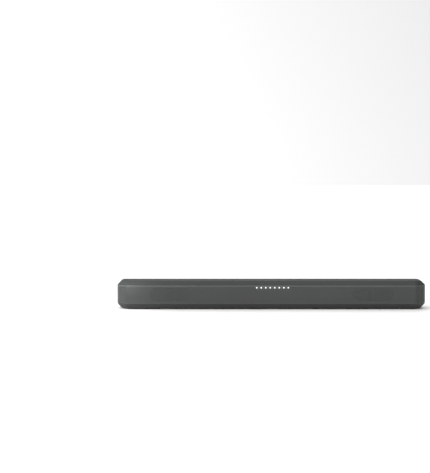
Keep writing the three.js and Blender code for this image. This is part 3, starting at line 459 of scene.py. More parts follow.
def add_lips(body, low, high):
    """Straight lips along the back and both ends that keep the upright walls in line."""
    end = REAR_CORNER + CORNER_SOFTENING + LIP_INSET
    near, deep = LIP_INSET, LIP_INSET + LIP[0]
    for side in (-1, 1):
        x = sorted((side * (half_length - near), side * (half_length - deep)))
        body.block((x[0], 0, low), (x[1], rear - end, high))
    body.block((-half_length + end, rear - deep, low), (half_length - end, rear - near, high))


def bottom_cover():
    body = Body()
    run, rise = slope_inside(BASE_SLOPE, WALL)
    edge = belt_low - SEAM
    floor_top = underside + WALL
    inner_edge = WALL + (underside + rise - edge) * BASE_SLOPE[0] / BASE_SLOPE[1]
    belt_base = belt_low - SEAM / 2
    roll = [(inset, belt_base - past) for inset, past in rolled_edge(BASE_TURN, True)]
    profile = softened([Vector(p) for p in (
        (inner_edge, edge), (roll[0][0] + 0.05 * MM, edge), *roll[1:],
        (BASE_SLOPE[0], underside), (BASE_SLOPE[0] + 5 * MM, underside),
    )], [SEAM_EASE] * (len(roll) + 1) + [BASE_EDGE, 0], steps=3, closed=False)
    outer = [body.ring(case_ring(p.x, p.y)) for p in profile]
    body.wall(*outer)
    inner = body.ring(case_ring(run, floor_top))
    body.wall(outer[0], inner)

    under_holes, top_holes = [], []
    for name in SCREW_NAMES:
        x, y, _ = middle_of(name)
        sink = [body.ring(circle(x, y, z, r)) for z, r in (
            (underside, COUNTERBORE + 0.3 * MM), (underside + 0.3 * MM, COUNTERBORE),
            (screw_seat, COUNTERBORE), (screw_seat, SCREW_BORE), (tower_top, SCREW_BORE),
            (tower_top, TOWER), (floor_top, TOWER),
        )]
        body.wall(*sink)
        under_holes.append(sink[0])
        top_holes.append(sink[-1])
    for name in FOOT_NAMES:
        low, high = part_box(name)
        half = ((high.x - low.x) / 2 + FIT, (high.y - low.y) / 2 + FIT)
        x, y, _ = middle_of(name)
        lip, floor_ring = (
            body.ring(rounded_box(x, y, z, half, FOOT_CORNER + FIT)) for z in (underside, high.z + FIT / 2)
        )
        body.wall(lip, floor_ring)
        body.lid(floor_ring)
        under_holes.append(lip)
    for board in ("power_board", "main_board"):
        low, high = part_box(board)
        for x in (low.x + POST_INSET, high.x - POST_INSET):
            for y in (low.y + POST_INSET, POST_BACK):
                foot_ring, top_ring = (
                    body.ring(circle(x, y, z, POST, 24)) for z in (floor_top, board_low - FIT)
                )
                body.wall(foot_ring, top_ring)
                body.lid(top_ring)
                top_holes.append(foot_ring)
    body.lid(outer[-1], *under_holes)
    body.lid(inner, *top_holes)
    add_lips(body, belt_base - LIP_ROOT, belt_base + LIP[1])
    made = body.piece("bottom_cover_moulding", black_abs)
    stands_for(made, "root", "base_black", "bottom_cover")


bottom_cover()

# ---------------------------------------------------------------- feet
# Four moulded rubber pads, glued into the wells under the bar. Each has a chamfered rim and three
# grip bars in a shallow recess, and the rubber is dead matt.
foot_rubber = grained(
    "moulded_rubber_matt", ("#161616", "#1c1c1b"), (0.82, 0.95), 0.35 * MM, 0.03 * MM, IOR=1.52,
)

FOOT_CHAMFER = 0.6 * MM
FOOT_RIM = 1.6 * MM
GRIP_DEPTH = 0.5 * MM
GRIP_BARS = 3
GRIP_SPACING = 8 * MM
GRIP_END = 1.2 * MM


def foot(name):
    low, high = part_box(name)
    x, y, _ = middle_of(name)
    half = Vector(((high.x - low.x) / 2, (high.y - low.y) / 2))
    body = Body()

    def level(shrink, z):
        size = (half.x - shrink, half.y - shrink)
        return body.ring(rounded_box(x, y, z, size, FOOT_CORNER - shrink * 0.6))

    rings = [
        level(0, high.z),
        level(0, low.z + FOOT_CHAMFER),
        level(FOOT_CHAMFER * 0.3, low.z + FOOT_CHAMFER * 0.3),
        level(FOOT_CHAMFER, low.z),
        level(FOOT_CHAMFER + FOOT_RIM, low.z),
        level(FOOT_CHAMFER + FOOT_RIM + GRIP_DEPTH / 2, low.z + GRIP_DEPTH),
    ]
    body.wall(*rings)
    body.lid(rings[0])
    body.lid(rings[-1])
    reach = half.y - FOOT_CHAMFER - FOOT_RIM - GRIP_END
    for bar in range(GRIP_BARS):
        middle = x + (bar - (GRIP_BARS - 1) / 2) * GRIP_SPACING
        rib = [body.ring(rounded_box(middle, y, z, (wide, reach), 0.8 * MM)) for z, wide in (
            (low.z + GRIP_DEPTH, 1.7 * MM), (low.z + 0.1 * MM, 1.4 * MM),
        )]
        body.wall(*rib)
        body.lid(rib[0])
        body.lid(rib[1])
    made = body.piece(name + "_pad", foot_rubber)
    stands_for(made, "root", "foot_rubber", name)


for foot_name in FOOT_NAMES:
    foot(foot_name)

# ---------------------------------------------------------------- boards
# Two glass-fibre boards on the tray's posts: the main one in front of the signal sockets, and the power
# supply's. Green solder mask covers the copper tracks; the parts are black epoxy on bright tinned legs.
BOARD = 1.6 * MM
TRACK_SPACING = 2.54 * MM


def solder_masked():
    """Satin green over tracks that run two ways and stand a little proud, one track spacing apart."""
    made, shader, place = surface("glass_fibre_board_solder_mask", "#1b4630", 0.35)
    tree = made.node_tree
    bricks = put(tree, "ShaderNodeTexBrick", {
        "Vector": place, "Scale": 1 / TRACK_SPACING, "Mortar Size": 0.06, "Brick Width": 3.1, "Row Height": 1,
        "Color1": linear("#1b4630"), "Color2": linear("#1e4c34"), "Mortar": linear("#2f6a46"),
    })
    drift = put(tree, "ShaderNodeTexNoise", {"Vector": place, "Scale": 1 / (9 * MM), "Detail": 1})
    fill = put(tree, "ShaderNodeMix", {
        "Factor": drift.outputs[0], 6: bricks.outputs["Color"], 7: linear("#184029"),
    }, data_type="RGBA")
    tree.links.new(fill.outputs[2], shader.inputs["Base Color"])
    relief = put(tree, "ShaderNodeBump", {
        "Height": bricks.outputs["Fac"], "Strength": 0.4, "Distance": 0.05 * MM,
    })
    tree.links.new(relief.outputs[0], shader.inputs["Normal"])
    gloss = put(tree, "ShaderNodeMapRange", {"Value": drift.outputs[0], "To Min": 0.28, "To Max": 0.42})
    tree.links.new(gloss.outputs[0], shader.inputs["Roughness"])
    return made


# Moulded epoxy is a dull satin black, tin plate is bright and mottled, and fired ceramic is tan and matt.
solder_mask = solder_masked()
black_epoxy = grained("black_epoxy_moulded", ("#191a1b", "#202122"), (0.5, 0.6), 0.2 * MM, 0.01 * MM, 8 * MM)
tinned = grained(
    "tinned_copper", ("#b4b7b8", "#a2a6a7"), (0.25, 0.42), 0.5 * MM, 0.01 * MM, 5 * MM, Metallic=1.0,
)
ceramic = grained("tan_ceramic", ("#8b6b4c", "#7d5f43"), (0.45, 0.6), 0.2 * MM, 0.01 * MM, 3 * MM)
BOARD_FINISHES = (solder_mask, black_epoxy, tinned, ceramic)
EPOXY, TIN, CERAMIC = 1, 2, 3

# Enamelled copper is bright wire under a clear coat. Extruded aluminium is a satin pale grey, and the fuse's
# glass is smooth and glossy.
enamelled_copper = grained(
    "enamelled_copper_wire", ("#a9623a", "#b87044"), (0.25, 0.38), 0.3 * MM, 0.02 * MM, 4 * MM,
    Metallic=1.0, Coat_Weight=0.4, Coat_Roughness=0.15,
)
aluminium = grained(
    "extruded_aluminium", ("#b9bbbe", "#adb0b3"), (0.32, 0.46), 0.4 * MM, 0.01 * MM, 12 * MM, Metallic=1.0,
)
fuse_glass = grained("fuse_glass", ("#c9d2d0", "#bcc6c4"), (0.03, 0.08), 1 * MM, 0.002 * MM, 5 * MM, IOR=1.52)
COPPER, ALUMINIUM, GLASS = 4, 5, 6


def flat_chip(body, middle, half, height, legs):
    """A square black package with a row of bent legs on each side, and a dimple that marks the first one."""
    x, y, top = middle
    body.finish = EPOXY
    body.block((x - half, y - half, top + 0.1 * MM), (x + half, y + half, top + height), steps=2)
    body.finish = TIN
    for i in range(legs):
        along = (i - (legs - 1) / 2) * (2 * half / legs)
        for side in (-1, 1):
            near, far = side * (half - 0.2 * MM), side * (half + 0.9 * MM)
            wide = 0.2 * MM
            for spot in (
                ((x + along - wide, y + near), (x + along + wide, y + far)),
                ((x + near, y + along - wide), (x + far, y + along + wide)),
            ):
                body.block((*spot[0], top - 0.05 * MM), (*spot[1], top + 0.3 * MM), 0.05 * MM)


def surface_part(body, x, y, top):
    """A tan two-ended part, 2 mm long, with tinned caps."""
    body.finish = CERAMIC
    body.block((x - 0.7 * MM, y - 0.6 * MM, top), (x + 0.7 * MM, y + 0.6 * MM, top + 0.6 * MM))
    body.finish = TIN
    for side in (-1, 1):
        body.block(
            (x + side * 0.6 * MM, y - 0.63 * MM, top - 0.1 * MM),
            (x + side * MM, y + 0.63 * MM, top + 0.63 * MM),
        )


def upright(ring, y):
    """A level ring stood up so that its second coordinate is its height, at depth y."""
    return [(px, y, pz) for px, pz, _ in ring]


def main_board():
    low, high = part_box("main_board")
    top = low.z + BOARD
    body = Body()
    body.block(low, (high.x, high.y, top), 0.2 * MM, 3)
    flat_chip(body, (low.x + 45 * MM, low.y + 22 * MM, top), 6 * MM, 1.3 * MM, 12)
    flat_chip(body, (low.x + 61 * MM, low.y + 21.5 * MM, top), 2.6 * MM, 1.1 * MM, 5)
    for i in range(6):
        for j in range(2):
            surface_part(body, low.x + (38 + 4 * i) * MM, low.y + (32 + 4 * j) * MM, top)
    for i in range(3):
        for j in range(5):
            surface_part(body, low.x + (103 + 4 * i) * MM, low.y + (24 + 4 * j) * MM, top)
    for x in (low.x + 8 * MM, high.x - 10 * MM):
        y = low.y + 14 * MM
        reach = 3 * MM
        body.finish = EPOXY
        body.block(
            (x - reach, y - reach + 0.3 * MM, top - 0.2 * MM), (x + reach, y + reach, high.z), 0.3 * MM, 3,
        )
        body.finish = TIN
        for side in (-1, 1):
            body.block(
                (x + (side * 1.5 - 0.8) * MM, y - reach, top + 0.5 * MM),
                (x + (side * 1.5 + 0.8) * MM, y - reach + 0.6 * MM, top + 2.5 * MM),
            )
    made = body.piece("main_board_assembly", *BOARD_FINISHES)
    stands_for(made, "root", "board_green", "main_board")


def power_board():
    low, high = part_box("power_board")
    top = low.z + BOARD
    body = Body()
    body.block(low, (high.x, high.y, top), 0.2 * MM, 3)

    # The line filter: two copper windings side by side on a ferrite core in a black frame.
    x, y = low.x + 17 * MM, low.y + 12 * MM
    body.finish = EPOXY
    for z0, z1 in ((top - 0.2 * MM, top + 2 * MM), (top + 12 * MM, top + 14 * MM)):
        body.block((x - 7 * MM, y - 6 * MM, z0), (x + 7 * MM, y + 6 * MM, z1), 0.3 * MM, 3)
    for side in (-1, 1):
        body.finish = COPPER
        wound = [(2 + 0.5 * i, 3.1 if i % 2 else 2.8) for i in range(21)]
        body.skin(*(body.ring(circle(x + side * 3.4 * MM, y, top + z * MM, r * MM, 24)) for z, r in wound))

    # The rectifier's cooling plate: an upright aluminium bar with a black part clamped to its front.
    x, y = low.x + 93 * MM, low.y + 28 * MM
    body.finish = ALUMINIUM
    body.block((x - 9 * MM, y - 1 * MM, top - 0.2 * MM), (x + 9 * MM, y + 2 * MM, top + 15 * MM), 0.3 * MM, 3)
    body.finish = EPOXY
    body.block((x - 5 * MM, y - 2 * MM, top + 3 * MM), (x + 5 * MM, y - 1.1 * MM, top + 13 * MM), 0.2 * MM, 3)
    body.finish = TIN
    for leg in (-1, 0, 1):
        body.block(
            (x + (leg * 2.5 - 0.4) * MM, y - 1.8 * MM, top - 0.2 * MM),
            (x + (leg * 2.5 + 0.4) * MM, y - 1.3 * MM, top + 3.2 * MM),
        )

    # The fuse: a glass tube between two spring clips on a black base.
    x, y0, y1 = low.x + 14.5 * MM, low.y + 22 * MM, low.y + 40 * MM
    body.finish = EPOXY
    body.block((x - 2.5 * MM, y0, top - 0.2 * MM), (x + 2.5 * MM, y1, top + 1.2 * MM), 0.3 * MM, 3)
    tube_z = top + 3.5 * MM
    for finish, a, b, radius in ((GLASS, 4.6, 13.4, 2.1), (TIN, 0.3, 5, 2.4), (TIN, 13, 17.7, 2.4)):
        body.finish = finish
        body.skin(*(
            body.ring(upright(circle(x, tube_z, 0, r * MM, 24), y0 + along * MM))
            for along, r in ((a, radius - 0.3), (a + 0.3, radius), (b - 0.3, radius), (b, radius - 0.3))
        ))
    for i in range(4):
        surface_part(body, low.x + (60 + 4 * i) * MM, low.y + 28 * MM, top)
    made = body.piece("power_board_assembly", *BOARD_FINISHES, enamelled_copper, aluminium, fuse_glass)
    stands_for(made, "root", "board_green", "power_board")


main_board()
power_board()

# ---------------------------------------------------------------- parts on the boards
# The amplifier's finned aluminium block, the wireless module in its screening can, the mains transformer
# in its ferrite frame, and the reservoir capacitor in a shrunk plastic sleeve. All are soldered down.
FIN_HALF = 1 * MM
FINS = 5


def amplifier_heatsink():
    """An extruded comb: the profile runs along the bar's depth."""
    low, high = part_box("amplifier_heatsink")
    base = low.z + 4 * MM
    profile = [(low.x, base), (low.x, low.z + 0.3 * MM), (low.x + 0.3 * MM, low.z)]
    profile += [(high.x - 0.3 * MM, low.z), (high.x, low.z + 0.3 * MM), (high.x, base)]
    first, last = high.x - FIN_HALF, low.x + FIN_HALF
    for i in range(FINS):
        x = first + (last - first) * i / (FINS - 1)
        tip = FIN_HALF * 0.4
        if i:
            profile.append((x + FIN_HALF, base))
        profile += [(x + FIN_HALF, high.z - tip), (x + tip, high.z)]
        profile += [(x - tip, high.z), (x - FIN_HALF, high.z - tip)]
        if i < FINS - 1:
            profile.append((x - FIN_HALF, base))
    body = Body()
    body.skin(*(body.ring([(x, y, z) for x, z in profile]) for y in (low.y, high.y)))
    made = body.piece("amplifier_heatsink_extrusion", aluminium)
    stands_for(made, "root", "heatsink_aluminium", "amplifier_heatsink")


def wireless_module():
    low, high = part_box("wireless_module")
    body = Body()
    body.block(low, (high.x, high.y, low.z + 1 * MM), 0.15 * MM, 3)
    body.finish = TIN
    body.block(
        (low.x + 1.5 * MM, low.y + 6 * MM, low.z + 0.9 * MM),
        (high.x - 1.5 * MM, high.y - 2 * MM, high.z), 0.3 * MM, 4,
    )
    # The bare end carries the aerial, a folded copper track.
    for i in range(5):
        x = low.x + (3 + 2 * i) * MM
        body.block(
            (x - 0.3 * MM, low.y + 1 * MM, low.z + 0.9 * MM),
            (x + 0.3 * MM, low.y + 4.5 * MM, low.z + 1.1 * MM), 0.04 * MM,
        )
    made = body.piece("wireless_module_can", *BOARD_FINISHES)
    stands_for(made, "root", "zinc_steel", "wireless_module")


# Polyester tape is smooth and a little shiny. Ferrite is a dull dark ceramic with a fine sintered grain.
winding_tape = grained(
    "yellow_polyester_tape", ("#b98f24", "#c39a2d"), (0.25, 0.35), 1 * MM, 0.02 * MM, 6 * MM,
)
ferrite = grained("sintered_ferrite", ("#2b2b2d", "#343436"), (0.6, 0.75), 0.3 * MM, 0.04 * MM, 9 * MM)
TAPE, FRAME, CORE = range(3)


def mains_transformer():
    low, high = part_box("mains_transformer")
    x, y, _ = middle_of("mains_transformer")
    body = Body()
    body.finish = FRAME
    for z0, z1 in ((low.z, low.z + 3 * MM), (high.z - 3 * MM, high.z)):
        body.block((low.x, low.y, z0), (high.x, high.y, z1), 0.4 * MM, 3)
    body.finish = TAPE
    wound = [(low.z + 2.8 * MM, 6.8 * MM)]
    for i in range(5):
        z = low.z + (3 + 2 * i) * MM
        wound += [(z + 0.05 * MM, 6.8 * MM), (z + 0.2 * MM, 7 * MM)]
        wound += [(z + 1.85 * MM, 7 * MM), (z + 2 * MM, 6.85 * MM)]
    wound.append((high.z - 2.8 * MM, 6.8 * MM))
    body.skin(*(body.ring(circle(x, y, z, r, 40)) for z, r in wound))
    body.finish = CORE
    for side in (-1, 1):
        near, far = sorted((x + side * 8 * MM, x + side * 10.8 * MM))
        body.block((near, y - 4 * MM, low.z + 2.8 * MM), (far, y + 4 * MM, high.z - 2.8 * MM), 0.3 * MM, 3)
    made = body.piece("mains_transformer_wound", winding_tape, black_epoxy, ferrite)
    stands_for(made, "root", "winding_tape", "mains_transformer")


# A shrunk PVC sleeve is glossy and slightly rippled.
shrunk_sleeve = grained(
    "pvc_sleeve_dark_blue", ("#14182a", "#181d31"), (0.18, 0.28), 1.5 * MM, 0.02 * MM, 10 * MM,
)
sleeve_band = grained(
    "pvc_sleeve_pale_band", ("#9aa0ad", "#a5abb7"), (0.2, 0.3), 1.5 * MM, 0.02 * MM, 10 * MM,
)
SLEEVE, BAND, CAN_TOP = range(3)


def reservoir_capacitor():
    """A drawn can with a rolled groove near its foot. The pale band marks the negative side."""
    low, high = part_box("reservoir_capacitor")
    x, y, _ = middle_of("reservoir_capacitor")
    radius = (high.x - low.x) / 2
    points = 48
    levels = [(0, 7), (0.4, 7.7), (1, 8), (2.2, 8), (2.8, 7.5), (3.4, 7.5), (4, 8), (19.6, 8), (20.3, 7.7)]
    height = (high.z - low.z) / MM
    levels += [(height - 0.1, 7.2), (height - 0.1, 6.6)]
    body = Body()
    rings = [body.ring(circle(x, y, low.z + min(z, height) * MM, r / 8 * radius, points)) for z, r in levels]
    for a, b in zip(rings, rings[1:]):
        for i in range(points):
            body.finish = BAND if 30 <= i < 36 else SLEEVE
            body.face(a[i], a[(i + 1) % points], b[(i + 1) % points], b[i])
    body.finish = SLEEVE
    body.lid(rings[0])
    body.finish = CAN_TOP
    body.lid(rings[-1])
    for across, along in ((4, 0.25), (0.25, 4)):
        body.block(
            (x - across * MM, y - along * MM, high.z - 0.3 * MM),
            (x + across * MM, y + along * MM, high.z), 0.04 * MM,
        )
    made = body.piece("reservoir_capacitor_can", shrunk_sleeve, sleeve_band, aluminium)
    stands_for(made, "root", "capacitor_sleeve", "reservoir_capacitor")


amplifier_heatsink()
wireless_module()
mains_transformer()
reservoir_capacitor()

# ---------------------------------------------------------------- sockets
# Five sockets soldered to the boards, all facing back through the rear panel's bays: an oblong mains inlet
# with two pins, an optical socket with a sprung shutter, two screened shells, and a round line-in jack.
# Glass-filled nylon is satin with a faint grain of fibres. Nickel plate is bright and warm, and a gold flash
# is soft and yellow.
nylon_black = grained(
    "glass_filled_nylon_black", ("#191a1b", "#1f2021"), (0.42, 0.55), 0.3 * MM, 0.02 * MM, 10 * MM,
)
nickel = grained(
    "nickel_plated_shell", ("#b6b3ad", "#a9a6a0"), (0.22, 0.34), 0.6 * MM, 0.01 * MM, 6 * MM, Metallic=1.0,
)
gold = grained(
    "gold_flashed_contact", ("#c79a4b", "#b98c40"), (0.25, 0.35), 0.3 * MM, 0.005 * MM, 2 * MM, Metallic=1.0,
)
SOCKET_FINISHES = (nylon_black, nickel, gold)
SHELL, METAL, CONTACT = range(3)
socket_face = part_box("mains_inlet")[1].y


def oblong(x, y, z, half, points=14):
    """A level ring of two straights and two half circles, half[0] by half[1] each way from x, y."""
    straight, radius = half[0] - half[1], half[1]
    ends = []
    for side in (1, -1):
        for i in range(points + 1):
            t = math.pi * (i / points - 0.5)
            ends.append((x + side * (straight + radius * math.cos(t)), y + side * radius * math.sin(t), z))
    return ends


def socket_block(body, node, well, depth):
    """An eased block with an open well in its back face. well gives its outline, grown by an amount."""
    low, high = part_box(node)
    middle = (low + high) / 2
    half = ((high.x - low.x) / 2, (high.z - low.z) / 2)
    shell = []
    for inset, y in ((0.3, low.y), (0, low.y + 0.3 * MM), (0, high.y - 0.3 * MM), (0.3, high.y)):
        size = (half[0] - inset * MM, half[1] - inset * MM)
        shell.append(body.ring(upright(rounded_box(middle.x, middle.z, 0, size, 0.6 * MM, 3), y)))
    body.wall(*shell)
    body.lid(shell[0])
    hole = [body.ring(upright(well(grow * MM), y)) for grow, y in (
        (0.25, high.y), (0, high.y - 0.25 * MM), (0, high.y - depth),
    )]
    body.wall(*hole)
    body.lid(hole[-1])
    body.lid(shell[-1], hole[0])


def mains_inlet():
    middle = middle_of("mains_inlet")
    body = Body()
    socket_block(
        body, "mains_inlet",
        lambda grow: oblong(middle.x, middle.z, 0, (9.3 * MM + grow, 5 * MM + grow)), 11 * MM,
    )
    body.finish = METAL
    for side in (-1, 1):
        x = middle.x + side * 4.3 * MM
        levels = [(-11.5, 1.2), (-3, 1.2), (-2.5, 1.1), (-2.15, 0.8)]
        rings = [
            body.ring(upright(circle(x, middle.z, 0, r * MM, 24), socket_face + y * MM)) for y, r in levels
        ]
        body.wall(*rings)
        body.lid(rings[0])
        body.hub(rings[-1], (x, socket_face - 2 * MM, middle.z))
    made = body.piece("mains_inlet_moulding", *SOCKET_FINISHES)
    stands_for(made, "root", "inner_black", "mains_inlet")


def screened_socket(node, wall, tongue, contacts, cut):
    """A folded metal shell round a contact tongue. cut is how far its lower corners slope in."""
    low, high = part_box(node)
    middle = (low + high) / 2
    body = Body()

    def shell(inset, y):
        x0, x1, z0, z1 = low.x + inset, high.x - inset, low.z + inset, high.z - inset
        slope = max(0, cut - inset * 0.4)
        corners = [(x0 + slope, z0), (x1 - slope, z0), (x1, z0 + slope), (x1, z1), (x0, z1), (x0, z0 + slope)]
        if not slope:
            corners = [(x0, z0), (x1, z0), (x1, z1), (x0, z1)]
        eased = softened([Vector(c) for c in corners], 0.35 * MM, 3)
        return body.ring([(p.x, y, p.y) for p in eased])

    body.finish = METAL
    outer = [shell(0, low.y), shell(0, high.y - 0.1 * MM), shell(0.1 * MM, high.y)]
    inner = [shell(wall - 0.1 * MM, high.y), shell(wall, high.y - 0.1 * MM), shell(wall, low.y + 2 * MM)]
    body.wall(*outer, *inner)
    body.lid(outer[0])
    body.lid(inner[-1])
    body.finish = SHELL
    reach = (high.x - low.x) / 2 - wall - 1 * MM
    body.block(
        (middle.x - reach, low.y + 1 * MM, middle.z - tongue / 2),
        (middle.x + reach, high.y - 1.5 * MM, middle.z + tongue / 2), 0.15 * MM, 2,
    )
    body.finish = CONTACT
    for i in range(contacts):
        x = middle.x + (i - (contacts - 1) / 2) * 2 * (reach - 0.6 * MM) / contacts
        wide = (reach - 0.6 * MM) / contacts * 0.5
        body.block(
            (x - wide, low.y + 2 * MM, middle.z - tongue / 2 - 0.06 * MM),
            (x + wide, high.y - 2.2 * MM, middle.z - tongue / 2 + 0.1 * MM), 0.02 * MM,
        )
    made = body.piece(node + "_shell", *SOCKET_FINISHES)
    stands_for(made, "root", "zinc_steel", node)


def optical_socket():
    low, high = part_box("optical_socket")
    middle = (low + high) / 2
    half = (high.x - low.x) / 2 - 0.9 * MM
    body = Body()
    socket_block(
        body, "optical_socket",
        lambda grow: rounded_box(middle.x, middle.z, 0, (half + grow, half + grow), 0.5 * MM, 3), 13 * MM,
    )
    made = body.piece("optical_socket_moulding", *SOCKET_FINISHES)
    stands_for(made, "root", "inner_black", "optical_socket")


def optical_shutter():
    """A thin flap that hangs from its top edge, with a shallow dish where the plug pushes it."""
    low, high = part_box("optical_shutter")
    middle = (low + high) / 2
    half = ((high.x - low.x) / 2, (high.z - low.z) / 2)
    body = Body()

    def level(inset, y, corner=0.5):
        size = (half[0] - inset * MM, half[1] - inset * MM)
        return body.ring(upright(rounded_box(middle.x, middle.z, 0, size, corner * MM, 3), y))

    body.skin(
        level(0.15, low.y), level(0, low.y + 0.15 * MM), level(0, high.y - 0.15 * MM), level(0.15, high.y),
        level(1.2, high.y, 1.2), level(1.5, high.y - 0.25 * MM, 1.2),
    )
    made = body.piece("optical_shutter_flap", *SOCKET_FINISHES)
    stands_for(made, "shutter", "inner_black", "optical_shutter")


def aux_socket():
    low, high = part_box("aux_socket")
    middle = (low + high) / 2
    shoulder = socket_face - 2.7 * MM
    body = Body()
    half = (high.x - low.x) / 2

    def box_ring(inset, y):
        size = (half - inset, half - inset)
        return body.ring(upright(rounded_box(middle.x, middle.z, 0, size, 0.6 * MM, 3), y))

    def turn(radius, y):
        return body.ring(upright(circle(middle.x, middle.z, 0, radius, 36), y))

    shell = [box_ring(0.2 * MM, low.y), box_ring(0, low.y + 0.2 * MM), box_ring(0, shoulder)]
    nose = [
        turn(3.2 * MM, shoulder), turn(3.2 * MM, high.y - 0.3 * MM),
        turn(2.9 * MM, high.y), turn(2.3 * MM, high.y),
    ]
    body.wall(*shell)
    body.lid(shell[0])
    body.lid(shell[-1], nose[0])
    body.wall(*nose)
    body.finish = METAL
    bore = [nose[-1], turn(1.8 * MM, high.y - 0.3 * MM), turn(1.8 * MM, low.y + 2 * MM)]
    body.wall(*bore)
    body.finish = SHELL
    body.lid(bore[-1])
    made = body.piece("aux_socket_jack", *SOCKET_FINISHES)
    stands_for(made, "root", "inner_black", "aux_socket")


mains_inlet()
screened_socket("video_socket", 0.5 * MM, 1.2 * MM, 7, 2 * MM)
screened_socket("data_socket", 0.6 * MM, 1.9 * MM, 4, 0)
optical_socket()
optical_shutter()
aux_socket()

# ---------------------------------------------------------------- chamber walls and baffle
# Black ABS walls close the two loudspeaker chambers off from the electronics, and the baffle, moulded in
# the same black, carries the drivers behind the grille. Only their edges are eased.
# The inner mouldings come from polished moulds, so they are smooth, satin and black.
inner_abs = grained("black_abs_smooth", ("#17181a", "#1c1d1e"), (0.42, 0.54), 0.6 * MM, 0.015 * MM, 60 * MM)


def keeps(node, material, ease):
    """Leaves a CAD node as it is, with its own finish and a small bevel on its edges."""
    made = bpy.data.objects[node]
    made.data.materials.clear()
    made.data.materials.append(material)
    weld = made.modifiers.new("weld", "WELD")
    weld.merge_threshold = 0.01 * MM
    bevel = made.modifiers.new("eased_edges", "BEVEL")
    bevel.width = ease
    bevel.segments = 2
    bevel.limit_method = "ANGLE"
    bevel.angle_limit = math.radians(40)


for kept_node in ("left_chamber_wall", "right_chamber_wall", "front_baffle"):
    keeps(kept_node, inner_abs, 0.25 * MM)

# ---------------------------------------------------------------- loudspeakers
# Two oval full-range drivers. Each has a pressed steel basket, a rubber half-roll surround, a ribbed black
# paper cone with a dust cap, a copper coil on its former, a waved cloth spider, and a ferrite magnet.
# Passivated steel is a cloudy grey metal, and butyl rubber is black and nearly matt.
pressed_steel = grained(
    "pressed_steel_zinc_passivated", ("#8f9294", "#7f8284"), (0.34, 0.5), 0.7 * MM, 0.012 * MM, 9 * MM,
    Metallic=1.0,
)
butyl_rubber = grained(
    "butyl_rubber_moulded", ("#131313", "#191919"), (0.62, 0.78), 0.4 * MM, 0.02 * MM, 8 * MM,
)
# Paper pulp is pressed wet onto a mesh, which leaves a felted grain of short fibres.
cone_paper = grained("pressed_paper_black", ("#222226", "#2b2b30"), (0.8, 0.95), 0.6 * MM, 0.06 * MM, 5 * MM)
former_paper = grained("kraft_paper_former", ("#a07b4f", "#957147"), (0.7, 0.85), 0.4 * MM, 0.02 * MM, 4 * MM)


def woven_cloth():
    """Cotton stiffened with resin: threads each way at 0.5 mm, which is coarser than the real cloth."""
    made, shader, place = surface("resin_stiffened_cotton", "#b98f45", 0.85)
    tree = made.node_tree
    threads = [
        put(tree, "ShaderNodeTexWave", {"Vector": place, "Scale": 0.16 / (0.5 * MM)}, bands_direction=way)
        for way in ("X", "Z")
    ]
    weave = put(tree, "ShaderNodeMath", {
        0: threads[0].outputs[1], 1: threads[1].outputs[1],
    }, operation="MAXIMUM")
    tones = put(tree, "ShaderNodeMix", {
        "Factor": weave.outputs[0], 6: linear("#9c7634"), 7: linear("#c49b50"),
    }, data_type="RGBA")
    tree.links.new(tones.outputs[2], shader.inputs["Base Color"])
    relief = put(tree, "ShaderNodeBump", {"Height": weave.outputs[0], "Strength": 0.6, "Distance": 0.1 * MM})
    tree.links.new(relief.outputs[0], shader.inputs["Normal"])
    return made


spider_cloth = woven_cloth()
belt_middle = (belt_low + belt_high) / 2
# Half the length and half the height of the surround's mouth and of the cone's front edge.
MOUTH = (46.075 * MM, 13.775 * MM)
CONE = (42.135 * MM, 9.835 * MM)
RIM, ROLL = 4.925 * MM, 3.94 * MM
COIL, NECK = 8.471 * MM, 8.771 * MM
RIB = 0.25 * MM
COIL_TURNS = 20


def oval(x, half, y, points=72):
    """An upright oval of two half circles and two straights about x and the belt's middle, at depth y."""
    ring = []
    for i in range(points):
        t = math.tau * (i + 0.5) / points
        straight = math.copysign(half[0] - half[1], math.cos(t))
        ring.append((x + straight + half[1] * math.cos(t), y, belt_middle - half[1] * math.sin(t)))
    return ring


def turned(body, x, profile, points=56):
    """Turns (radius, y) points about the driver's axis. A profile that leaves the axis comes back to it."""
    rings = [body.ring(upright(circle(x, belt_middle, 0, r, points), y)) for r, y in profile if r]
    if profile[0][0]:
        body.wall(*rings, rings[0])
        return
    body.wall(*rings)
    for ring, (_, y) in ((rings[0], profile[0]), (rings[-1], profile[-1])):
        body.hub(ring, (x, y, belt_middle))


def stretches(piece, node, centre, reach):
    """Hides the CAD node of a soft ring and bakes the piece's placement into its points. It works out how far
    each point lies between the inner and outer radius, but nothing uses that share. centre is the driver's
    middle and half the length of its straights. reach is its inner and outer radius."""
    (x, straight), (inner, outer) = centre, reach
    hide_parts(node)
    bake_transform(piece)
    for point in piece.data.vertices:
        beside = max(0, abs(point.co.x - x) - straight)
        share = (math.hypot(beside, point.co.z - belt_middle) - inner) / (outer - inner)
        share = min(1, max(0, share))


